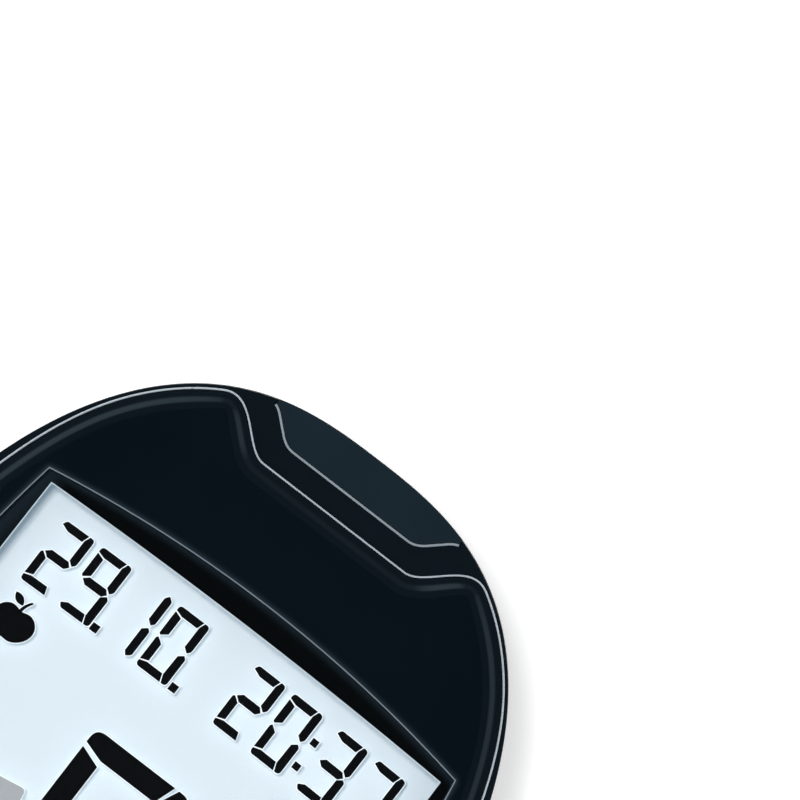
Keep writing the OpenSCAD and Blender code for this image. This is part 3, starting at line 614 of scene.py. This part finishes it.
def bent(outline):
    """The row of small figures bows down towards its ends, with the square of x."""
    return outline - np.column_stack([0 * outline[:, 0], 0.3 * (outline[:, 0] / 20) ** 2])


row = [
    shape for figure, left, low in [
        ("2", -20.5, SMALL_LOW), ("9", -16.0, SMALL_LOW), ("1", -11.0, SMALL_LOW), ("0", -6.6, 19.1),
        ("2", 2.7, 19.1), ("0", 7.3, 19.1), ("3", 12.85, SMALL_LOW), ("7", 17.5, SMALL_LOW),
    ] for shape in digit(figure, left, low, 3.62, 7.15, 0.84, 0.13)
]
row += [square(-12.24, 19.1, 0.84), square(-2.7, 19.05, 0.84)]
row += [square(11.4, 20.45, 0.74), square(11.4, 23.3, 0.74)]
big = [
    shape for figure, left in [("9", -5.76), ("5", 8.3)]
    for shape in digit(figure, left, BIG_LOW, 11.6, 21.3, 2.35, 0.5)
]


def apple():
    """A generic apple: an oval that a bell curve of the turn dips above and below, a leaf that
    swells with the sine of the way along it to the 0.8, and a stem bent as a parabola."""
    turn = np.linspace(0, 2 * np.pi, 72, endpoint=False)
    from_top = np.abs((turn - np.pi / 2 + np.pi) % (2 * np.pi) - np.pi)
    from_low = np.abs((turn + np.pi / 2 + np.pi) % (2 * np.pi) - np.pi)
    size = 1 - 0.24 * np.exp(-(from_top / 0.36) ** 2) - 0.07 * np.exp(-(from_low / 0.25) ** 2)
    wide = 1 + 0.1 * np.sin(turn)
    body = np.column_stack([2.22 * size * wide * np.cos(turn), 1.83 * size * np.sin(turn)])
    t = np.linspace(0, 1, 16)[:, None]
    line = np.array([-19.95, 17.6]) + t * np.array([1.35, -0.72])
    belly = 0.4 * np.sin(np.pi * t) ** 0.8 * np.array([0.47, 0.88])
    leaf = np.vstack([line - belly, (line + belly)[::-1][1:-1]])
    stem = np.array([-18.5, 16.2]) + np.hstack([0.55 * t ** 2, 1.45 * t])
    half = (0.17 - 0.06 * t) * np.array([1, -0.35])
    return [body + (-18.38, 14.95), leaf, np.vstack([stem + half, (stem - half)[::-1]])]


strip_mark = rounded([(-20.3, -1.3), (-7.2, 0.95), (-7.55, 3.0), (-20.65, 0.75)], [0.3, 0.5, 0.5, 0.3])
black_shapes = [bent(shape) for shape in row] + big + apple()
figures = plates("display_figures", black_shapes, *SEGMENTS)
faint = plates("display_strip_mark", [strip_mark], *SEGMENTS)
edge_shapes = [inward(shape, -EDGE_WIDTH) for shape in black_shapes + [strip_mark]]
edges = plates("display_edges", edge_shapes, *SEGMENT_EDGES)
segment_black = Finish("segment_black", Specular_IOR_Level=0.1)
patch = segment_black.speckle(0.8, 2)
segment_black.feed(
    Base_Color=segment_black.blend(patch, (0.0022, 0.0022, 0.0024), (0.0032, 0.0031, 0.0033)),
    Roughness=0.6 + 0.2 * patch,
)
fit(figures, segment_black, "display", "meter")
segment_grey = Finish("segment_grey", Roughness=0.6)
patch = segment_grey.speckle(0.8, 2)
segment_grey.feed(Base_Color=segment_grey.blend(patch, (0.42, 0.43, 0.44), (0.46, 0.47, 0.48)))
fit(faint, segment_grey, "display", "meter")


def pearl(finish, colour):
    """The reflector's white, with a fine mottle."""
    mottle = finish.speckle(0.35, 3).fade(0.2, 0.8)
    finish.feed(Base_Color=finish.blend(mottle, tuple(0.97 * c for c in colour), colour))
    return finish.feed(Roughness=0.55 + 0.1 * mottle)


# The pale edges are real white plates that cast the segments' shadows; their faint emission is a
# painted highlight, a bright halo round each segment.
edge_white_with_painted_halo = pearl(Finish(
    "segment_edge_white", Emission_Color=(0.95, 0.98, 1.0), Emission_Strength=0.2,
), (0.92, 0.96, 0.98))
fit(edges, edge_white_with_painted_halo, "display", "meter")


def see_through(finish, least, solid_part=0.0):
    """Lets light straight through, but for the solid part and for what each surface mirrors: the
    least share in a square view, rising with the 5th power to all of it in a grazing one."""
    facing = finish.node("LayerWeight", {}, {"Blend": 0.5}, "Facing")
    mirrored = (least + (1 - least) * facing ** 5).most(solid_part)
    through = finish.node("BsdfTransparent", {}, {"Color": (0.99, 0.995, 1.0, 1)})
    shown = Tone(finish, finish.shader.outputs[0])
    mix = finish.node("MixShader", {}, {0: mirrored, 1: through, 2: shown})
    finish.tree.links.new(mix.socket, finish.tree.nodes["Material Output"].inputs["Surface"])
    return finish


def cell_glass():
    """Clear down to its floor, which is the white reflector and glows a little."""
    finish = Finish("display_cell_glass", Emission_Strength=1.0)
    [z] = finish.place("Z")
    floor = 1 - z.fade(CELL_FLOOR + 0.02, CELL_FLOOR + 0.06)
    mottle = finish.speckle(0.35, 3).fade(0.2, 0.8)
    white = finish.blend(mottle, (0.71, 0.72, 0.71), (0.73, 0.74, 0.73))
    finish.feed(
        Base_Color=finish.blend(floor, (0.9, 0.93, 0.95), white), Metallic=1 - floor,
        Roughness=0.05 + 0.5 * floor,
        Emission_Color=finish.blend(floor, (0.0, 0.0, 0.0), (0.065, 0.135, 0.19)),
    )
    return see_through(finish, 0.01, floor)


glass = block((-25.2, -12.6, CELL_FLOOR), (25.2, 29.4, 16.4))
glass.name = "display_cell"
fit(glass, cell_glass(), "display", "meter", "display_glass")
rear_glass = block((-25.2, -13.0, 14.5), (25.2, 29.8, 14.99))
rear_glass.name = "display_rear_glass"
fit(rear_glass, pearl(Finish("rear_glass_white"), (0.7, 0.76, 0.78)), "display", "meter")
dress(moulded("guide_acrylic", (0.82, 0.84, 0.85), 0.2, 0.5, 0.005), "light_guide")
dress(moulded("frame_plastic", (0.78, 0.77, 0.72), 0.45, 0.3, 0.008), "display_frame")
dress(moulded("gasket_foam", (0.02, 0.02, 0.022), 0.9, 0.35, 0.08), "display_gasket")
zebra = Finish("zebra_rubber", Roughness=0.7)
[x] = zebra.place("X")
stripes = ((x * 5).wrap() - 0.5).fade(-0.06, 0.06)
zebra.feed(Base_Color=zebra.blend(stripes, (0.5, 0.12, 0.2), (0.02, 0.02, 0.02))).relief(stripes, 0.01)
dress(zebra, "zebra_upper", "zebra_lower")

# --- Front case ------------------------------------------------------------------------------
# The upper half of the housing in the same ABS. Its deck has openings for the display and keys,
# a notch for the strip port, and pockets for the grips; the face cover is glued onto it.
DECK_LOW, CASE_EASE = 17.0, 0.08
HOOD_HALF, HOOD_BACK, HOOD_FLAT, HOOD_BEND, HOOD_SLOPE = 11.1, 44.7, 7.0, 0.55, 0.9


def bowed(x, y0, y1, bow_x, bow_y, count=60):
    """A rectangle whose four sides bow outwards, anticlockwise: by the bow times 1 less the square
    of s, which runs from -1 to 1 along each side."""
    s = np.linspace(-1, 1, count, endpoint=False)
    swell, middle, half = 1 - s * s, (y0 + y1) / 2, (y1 - y0) / 2
    return np.vstack([
        np.column_stack([x + bow_x * swell, middle + s * half]),
        np.column_stack([-s * x, y1 + bow_y * swell]),
        np.column_stack([-x - bow_x * swell, middle - s * half]),
        np.column_stack([s * x, y0 - bow_y * swell]),
    ])


def hood_back(x):
    """The hood's back edge: straight, then a parabola up to the slope, then straight at the slope,
    less a second parabola where it eases at its end."""
    t = np.maximum(np.abs(x) - HOOD_FLAT, 0)
    turn = HOOD_SLOPE / HOOD_BEND
    rise = np.where(t < turn, HOOD_BEND * t * t / 2, HOOD_SLOPE * (t - turn / 2))
    return HOOD_BACK + rise - 0.3 * np.maximum(t - 3.1, 0) ** 2


def quarter(inset, top, radius, *degrees):
    """Steps of a quarter circle: the radius times 1 less the cosine inwards, and times 1 less the
    sine below the top."""
    turn = np.radians(degrees)
    return list(zip(inset + radius * (1 - np.cos(turn)), top - radius * (1 - np.sin(turn))))


hood_x = np.linspace(-HOOD_HALF, HOOD_HALF, 121)
hood_front = BELLY + (HEAD - BELLY) * np.sqrt(1 - np.abs(hood_x / HALF_WIDTH) ** SIDE_POWER)
hood_path = np.vstack([
    np.column_stack([hood_x, hood_back(hood_x)]), np.column_stack([hood_x, hood_front])[::-1],
])
wall_steps = [(back_skin(z), z) for z in np.linspace(SEAM + 0.15, DECK - CASE_EASE, 8)]
case_steps = [
    (2.6, DECK_LOW), (2.25, DECK_LOW), (2.25, SEAM), (0.15, SEAM), *wall_steps,
    *quarter(WALL_LEAN, DECK, CASE_EASE, 22, 45, 68, 90), (0.2, DECK),
]
openings = [bowed(24.0, -11.8, 28.6, 0.01, 0.01, 20)]
openings += [circle((x, y), radius + 1.3) for x, y, radius in KEYS.values()]
front_case = solid(
    "front_shell", stack(OUTLINE, *case_steps),
    *(stack(path, (0, DECK_LOW), (0, DECK)) for path in openings),
)
carve(front_case, "UNION", *(post(at, 11.2, DECK_LOW + 0.4, 2.4) for at in CASE_SCREWS))
carve(
    front_case, "DIFFERENCE", solid("tool", stack(hood_path, (-0.05, 9.8), (-0.05, 19.4))),
    wide_block(HOOD_HALF + 0.05, 47.7, 50, 9.8, 19.4), wide_block(4.2, -50, -46, 10.8, 14.3),
    *(post(at, 10.2, DECK_LOW, 1.02) for at in CASE_SCREWS), *grip_pockets(),
)
fit(front_case, case_plastic, "case_dark", "meter", "front_case")

# --- Strip port hood and the bright beads ----------------------------------------------------
# The hood is a separate satin moulding over the strip slot. A thin chromed bead borders the
# face cover all round, and a duller one borders the hood's back edge.
HOOD_TOP, HOOD_EASE, BEAD_TOP = 18.85, 0.06, 18.9
RIM_SIDE, RIM_HEAD, NOTCH_BACK, NOTCH_FLAT, NOTCH_MOUTH = 0.95, 0.5, 41.92, 8.6, 16.0
hood = solid("strip_hood", stack(
    hood_path, (0, SEAM + 0.05), (0, HOOD_TOP - HOOD_EASE),
    *quarter(0, HOOD_TOP, HOOD_EASE, 18, 36, 54, 72, 90), (0.1, HOOD_TOP),
))
carve(hood, "DIFFERENCE", wide_block(4.7, 0, 50, 12.65, 13.95))
hood_plastic = moulded(
    "hood_plastic", (0.0075, 0.0155, 0.0225), 0.4, 0.2, 0.008, Specular_IOR_Level=0.35,
)
fit(hood, hood_plastic, "hood_satin", "meter", "port_hood")


def smooth(low, high, value):
    """0 below low, 1 above high, and between them the smooth step 3 t squared less 2 t cubed."""
    t = np.clip((value - low) / (high - low), 0, 1)
    return t * t * (3 - 2 * t)


def cover_border():
    """The face cover's edge: the outline moved inwards, and behind the strip port a straight line
    that a smooth step of x joins to it."""
    fine = even(superellipse(np.linspace(0, 2 * np.pi, 40000, endpoint=False)), 3840)
    path = inward(fine, RIM_SIDE + (RIM_HEAD - RIM_SIDE) * smooth(24, 40, fine[:, 1]))
    share = smooth(NOTCH_FLAT, NOTCH_MOUTH, np.abs(path[:, 0]))
    dipped = NOTCH_BACK + (path[:, 1] - NOTCH_BACK) * share
    return even(np.column_stack([path[:, 0], np.where(path[:, 1] < 0, path[:, 1], dipped)]), 960)


COVER_EDGE = cover_border()


def half_round(width, low, high):
    """Steps across a bead: an upright foot, then half a circle as its top."""
    half = width / 2
    turn = np.radians(np.linspace(0, 180, 9))
    top = [(half * np.cos(a), high - half + half * np.sin(a)) for a in turn]
    return [(half, low), *top, (-half, low)]


bright = metal("bead_silver", (0.74, 0.82, 0.88), 0.3, 0.45)
bead = solid("cover_bead", stack(COVER_EDGE, *half_round(0.2, DECK, BEAD_TOP)), ringed=True)
fit(bead, bright, "trim_bright", "meter", "face_trim", sharp=60)
rise = np.gradient(hood_back(hood_x), hood_x)
off = np.column_stack([rise, -np.ones_like(rise)]) / np.hypot(1, rise)[:, None]
behind = np.column_stack([hood_x, hood_back(hood_x)])
trim_path = np.vstack([behind + 0.3 * off, (behind + 0.05 * off)[::-1]])
port_trim = solid("port_bead", stack(
    trim_path, (0, DECK), (0, BEAD_TOP - 0.1), (0.03, BEAD_TOP - 0.03), (0.09, BEAD_TOP),
))
dull = metal("bead_dull", (0.36, 0.41, 0.45), 0.34, 0.3)
fit(port_trim, dull, "trim_bright", "meter", "port_trim", sharp=60)

# --- Face cover ------------------------------------------------------------------------------
# A blue-black plate with a piano-gloss face. Its edge is rounded down to the bead, it has a
# window opening with a soft lip, and three round openings for the keys.
FACE, EDGE_INSET, EDGE_WIDE, EDGE_SLOPE = 20.0, 0.175, 2.04, 0.92
WINDOW_BOX = (24.65, -14.4, 29.0, 1.85, 2.25)
WINDOW = bowed(*WINDOW_BOX)


def rolled(width):
    """Across the rounded edge: it starts at its steepest above the bead, and the slope falls with
    the 1.5th power of the distance, so that the edge runs out level."""
    t = np.linspace(0, 1, 24)
    fall = EDGE_SLOPE * (0.6 - t + t ** 2.5 / 2.5)
    return [(EDGE_INSET + width * along, FACE - width * down) for along, down in zip(t, fall)]


# The rounded edge is narrower round the notch's two tight corners.
tight = np.exp(-((np.abs(COVER_EDGE[:, 0]) - 14.9) / 2.5) ** 2) * (COVER_EDGE[:, 1] > 30)
roll_wide = EDGE_WIDE - 0.34 * tight
cover_steps = [(EDGE_INSET, DECK), *rolled(roll_wide), (EDGE_INSET + roll_wide + 0.065, FACE)]


def lip(path, width, drop):
    """The wall of an opening, rolled over at its top: a quarter of an ellipse."""
    turn = np.radians(np.linspace(0, 90, 11))
    bend = zip(-width * (1 - np.cos(turn)), FACE - drop * (1 - np.sin(turn)))
    return stack(path, (0, DECK), *bend, (-width - 0.05, FACE))


cover = solid(
    "face_plate", stack(COVER_EDGE, *cover_steps), lip(WINDOW, 0.5, 0.2),
    *(lip(circle((x, y), radius + 0.15, 96), 0.2, 0.12) for x, y, radius in KEYS.values()),
)


def from_window(x, y):
    """How far a point lies inside the window's sides, and inside its ends: the half size and
    the parabola's bow, less the distance from the middle."""
    wide, y0, y1, bow_x, bow_y = WINDOW_BOX
    half = (y1 - y0) / 2
    y = y - (y0 + y1) / 2
    beside = wide + bow_x - bow_x / half ** 2 * y * y - abs(x)
    return beside, half + bow_y - bow_y / wide ** 2 * x * x - abs(y)


gloss = Finish("piano_gloss", Specular_IOR_Level=0.5)
haze = gloss.speckle(16, 2).fade(0.25, 0.75)
fleck = gloss.speckle(0.12, 1)
beside, ahead = from_window(*gloss.place("XY"))
black = gloss.blend(haze, (0.0012, 0.0040, 0.0062), (0.0018, 0.0052, 0.0078))
# Painted highlight: a faint blue glow is painted within 1 mm outside the window, and a pale line is
# painted along its lip, where the lip would catch the light.
painted_window_glow = (beside.fade(-1.0, 0) * ahead.fade(-1.0, 0)) ** 2
painted_lip_highlight = beside.fade(-0.18, -0.06) * ahead.fade(-0.18, -0.06)
black_with_painted_glow = gloss.blend(painted_window_glow, black, (0.014, 0.022, 0.029))
gloss.feed(
    Base_Color=gloss.blend(painted_lip_highlight, black_with_painted_glow, (0.2, 0.245, 0.29)),
    Roughness=0.07 + 0.03 * haze + 0.02 * fleck,
).relief(gloss.speckle(6, 1), 0.01)
fit(cover, gloss, "face_gloss", "meter", "face_cover")

# --- Window ----------------------------------------------------------------------------------
# A clear acrylic lens that drops into the cover's opening, with a black film printed on its
# underside that leaves the picture free.
LENS_GAP, LENS_LOW, LENS_TOP, FILM_TOP = 0.1, 18.56, 19.7, 18.54
lens = solid("window_lens", stack(
    WINDOW, (LENS_GAP, LENS_LOW), (LENS_GAP, 19.6), (0.115, 19.66), (0.15, 19.69), (0.2, LENS_TOP),
    (0.26, LENS_TOP),
))
lens_clear = Finish("lens_clear", Metallic=1.0)
smear = lens_clear.speckle(12, 3, 0.6)
lens_clear.feed(
    Base_Color=lens_clear.blend(smear, (0.88, 0.91, 0.93), (0.92, 0.95, 0.97)),
    Roughness=0.035 + 0.03 * smear,
)
fit(lens, see_through(lens_clear, 0.02), "clear_lens", "meter", "display_window")
picture = bowed(23.72, -11.6, 28.06, 0.1, 0.52)
film = solid(
    "window_film", stack(WINDOW, (LENS_GAP, DECK), (LENS_GAP, FILM_TOP)),
    stack(picture, (0, DECK), (0, FILM_TOP)),
)
film_black = Finish("film_black", Specular_IOR_Level=0.1)
x, y = film_black.place("XY")
beside, ahead = from_window(x, y)
grain = film_black.speckle(0.4, 2)
# Painted highlight: the black film is painted lighter and bluer within 1.2 mm of the window's ends and
# within 3 mm of its left side, as a glow of light along the lens's edge.
painted_mask_glow = ((1 - ahead.fade(0, 1.2)) ** 2).most((1 - beside.fade(0, 3)) * (1 - x.fade(-24, 0)))
film_black.feed(
    Base_Color=film_black.blend(painted_mask_glow, (0.0008, 0.0009, 0.0009), (0.009, 0.0165, 0.022)),
    Roughness=0.6 + 0.1 * grain,
).relief(grain, 0.002)
fit(film, film_black, "print_black", "meter", "window_mask")
white_line = solid(
    "window_white_line", stack(picture, (0.01, 18.42), (0.01, 18.53)),
    stack(picture, (0.1, 18.42), (0.1, 18.53)),
)
fit(white_line, pearl(Finish("line_white"), (0.66, 0.75, 0.8)), "display", "meter")

# --- Keys ------------------------------------------------------------------------------------
# Glossy caps with a rounded rim and a slight dish, a flange that holds them under the cover and
# a stem that pushes the dome. Their symbols are printed: a power sign and two arrows.
STEM, FLANGE_LOW, KEY_TOP, KEY_EASE = 1.6, 17.35, 20.4, 0.5


def key_marks(finish, key, at):
    """1 inside the key's symbol: a ring that is open at the top with a bar in the gap, or a
    triangle where y plus twice x stays below its tip."""
    x, y, z = finish.place("XYZ")
    x, y, on_top = x - at[0], y - at[1], z.fade(19.9, 20.0)
    if key == "power":
        ring = 1 - abs((x * x + y * y) ** 0.5 - 2.1).fade(0.2, 0.26)
        closed = abs(x).fade(0.55, 0.62).most(1 - y.fade(-0.1, 0.1))
        bar = (1 - abs(x).fade(0.2, 0.26)) * (1 - abs(y - 1.75).fade(1.05, 1.11))
        return (ring * closed).most(bar) * on_top
    y = y if key == "up" else -1 * y
    return (1 - (y + 2 * abs(x)).fade(1.5, 1.6)) * y.fade(-1.25, -1.2) * on_top


rings = np.arange(1, 13)
for key, (x, y, radius) in KEYS.items():
    stem = [(0.05, DOME_TOP), (STEM, DOME_TOP), (STEM, FLANGE_LOW)]
    flange = [(radius + 1, FLANGE_LOW), (radius + 1, FLANGE_LOW + 1), (radius, FLANGE_LOW + 1)]
    dish = np.column_stack([radius - 0.8 - 0.2 * rings, KEY_TOP - 0.16 * (1 - (1 - rings / 12) ** 2)])
    cap = lathe(
        f"{key}_key_cap", (x, y), stem, flange, [(radius, KEY_TOP - KEY_EASE)],
        arc((radius - KEY_EASE, KEY_TOP - KEY_EASE), KEY_EASE, KEY_EASE, 5, 90, 9),
        dish, [(0.5, 20.22), (0.05, 20.22)], count=128,
    )
    key_gloss = Finish(f"{key}_key_gloss", Specular_IOR_Level=0.5)
    mark = key_marks(key_gloss, key, (x, y))
    haze = key_gloss.speckle(5, 2)
    base = key_gloss.blend(haze, (0.005, 0.0085, 0.012), (0.0065, 0.0105, 0.0145))
    key_gloss.feed(
        Base_Color=key_gloss.blend(mark, base, (0.52, 0.58, 0.62)),
        Roughness=0.16 + 0.06 * haze + 0.2 * mark,
    ).relief(mark, 0.015)
    fit(cap, key_gloss, "key_gloss", f"{key}_key_body", f"{key}_key")

# --- Grips -----------------------------------------------------------------------------------
# Soft rubber pads pressed into the pockets of both flanks, flush with the skin, with eased
# edges and a fine diamond texture for the fingers.
grip_rubber = Finish("grip_rubber")
y, z = grip_rubber.place("YZ")
rising = ((y + z) * 0.9).wrap() - 0.5
falling = ((y - z) * 0.9).wrap() - 0.5
knobs = abs(rising).fade(0.12, 0.3) * abs(falling).fade(0.12, 0.3)
grain = grip_rubber.speckle(0.3, 2)
worn = 0.5 * knobs + 0.5 * grain
grip_rubber.feed(
    Base_Color=grip_rubber.blend(worn, (0.010, 0.0135, 0.017), (0.016, 0.021, 0.026)),
    Roughness=0.62 + 0.12 * grain - 0.06 * knobs,
).relief(0.9 * knobs + 0.1 * grain, 0.12)


def eased(u, v):
    """Depth of the pad's face: almost flush, and deeper by the square of how close an edge is."""
    beside = np.minimum(u, 1 - u) * (GRIP_HEAD - GRIP_TAIL)
    edge = np.minimum(beside, np.minimum(v, 1 - v) * (DECK - GRIP_LOW))
    return 0.02 + 0.4 * (1 - np.clip(edge / 0.5, 0, 1)) ** 2


for side, name in ((-1, "left"), (1, "right")):
    ends = (GRIP_TAIL, GRIP_HEAD, GRIP_LOW, DECK)
    pad = flank_band(f"{name}_grip_pad", eased, 0.9, *ends, side)
    fit(pad, grip_rubber, "grip_rubber", "meter", f"{name}_grip", sharp=50)

# --- Screws ----------------------------------------------------------------------------------
# Nickel-plated steel screws with a cross recess: four up through the rear case into the front
# one, and two down through the board.
screw_steel = metal("screw_steel", (0.5, 0.5, 0.5), 0.32)
dress(screw_steel, *(f"case_screw_{n}" for n in (1, 2, 3, 4)), "board_screw_1", "board_screw_2")

# --- Table, lamps and camera -----------------------------------------------------------------
# The meter lies on its back on a white table under one large soft lamp from the upper left and a
# weak one from the right, and the camera looks straight down, turned about its line of sight.
TURN, AIM, SPAN = np.radians(37.65), Vector((-1.92, 54.84, FACE)) * MM, 77.1 * MM
LENS, SENSOR = 1000, 36

table = solid("table", stack(circle((0, 0), 3000, 96), (0, -20), (0, 0)))
table_white = Finish(
    "table_white", Roughness=1.0, Specular_IOR_Level=0.0, Emission_Color=(1.0, 1.0, 1.0),
)
# White where the camera looks, and dimmer where gloss or glass shows it.
direct = table_white.node("LightPath", {}, {}, "Is Camera Ray")
mirrored = table_white.node("LightPath", {}, {}, "Is Glossy Ray")
mirrored = mirrored.most(table_white.node("LightPath", {}, {}, "Is Transmission Ray"))
table_white.feed(
    Base_Color=table_white.blend(direct, (0.8, 0.8, 0.8), (0.7, 0.7, 0.7)),
    Emission_Strength=0.54 * direct + 0.25 * mirrored,
)
table.data.materials.append(table_white.material)

scene = bpy.context.scene
scene.view_settings.view_transform = "Standard"
scene.world = bpy.data.worlds.new("studio")
scene.world.use_nodes = True
studio = Nodes(scene.world.node_tree)
# Gloss mirrors a dim blue sky with a bright band low round it, weaker towards the head. The camera
# sees white, and matt surfaces get an even white light.
way = studio.node("TexCoord", {}, {}, "Generated")
height = studio.node("SeparateXYZ", {}, {0: way}, "Z")
left = -1 * studio.node("SeparateXYZ", {}, {0: way}, "X")
toward_head = studio.node("SeparateXYZ", {}, {0: way}, "Y") / (1.001 - height * height) ** 0.5
ring = height.fade(0.22, 0.34) * (1 - height.fade(0.5, 0.64))
ring = ring * (1 - 0.8 * toward_head.fade(0.72, 0.9))
seen = studio.node("LightPath", {}, {}, "Is Camera Ray")
plain = studio.node("LightPath", {}, {}, "Is Diffuse Ray")
level = 0.05 + 0.08 * (1 - height.fade(0.94, 0.99)) + ring * (0.72 + 0.2 * left)
level = level + plain * (0.32 - level)
level = level + seen * (1 - level)
tint = studio.blend(seen.most(plain), (0.6, 0.83, 1.0), (1.0, 1.0, 1.0))
background = scene.world.node_tree.nodes["Background"]
studio.tree.links.new(tint.socket, background.inputs["Color"])
studio.tree.links.new(level.socket, background.inputs["Strength"])


def lamp(name, toward, tilt, distance, size, watts):
    """A square soft lamp that looks at the meter from a direction, tilted off the vertical."""
    data = bpy.data.lights.new(name, "AREA")
    data.size, data.energy = size, watts
    flat = np.array(toward) / np.linalg.norm(toward) * np.sin(np.radians(tilt))
    way = Vector((*flat, np.cos(np.radians(tilt))))
    made = bpy.data.objects.new(name, data)
    made.location = Vector((0, 0, 0.02)) + way * distance
    made.rotation_euler = way.to_track_quat("Z", "Y").to_euler()
    made.visible_camera = made.visible_glossy = made.visible_transmission = False
    bpy.context.collection.objects.link(made)


lamp("key_lamp", (-0.94, 0.34), 12, 1.2, 0.28, 11)
lamp("fill_lamp", (0.8, -0.6), 50, 1.2, 0.8, 1.5)

camera = bpy.data.objects.new("camera", bpy.data.cameras.new("camera"))
camera.data.lens, camera.data.sensor_width = LENS, SENSOR
camera.location = AIM + Vector((0, 0, SPAN * LENS / SENSOR))
camera.rotation_euler = (0, 0, TURN)
bpy.context.collection.objects.link(camera)
scene.camera = camera
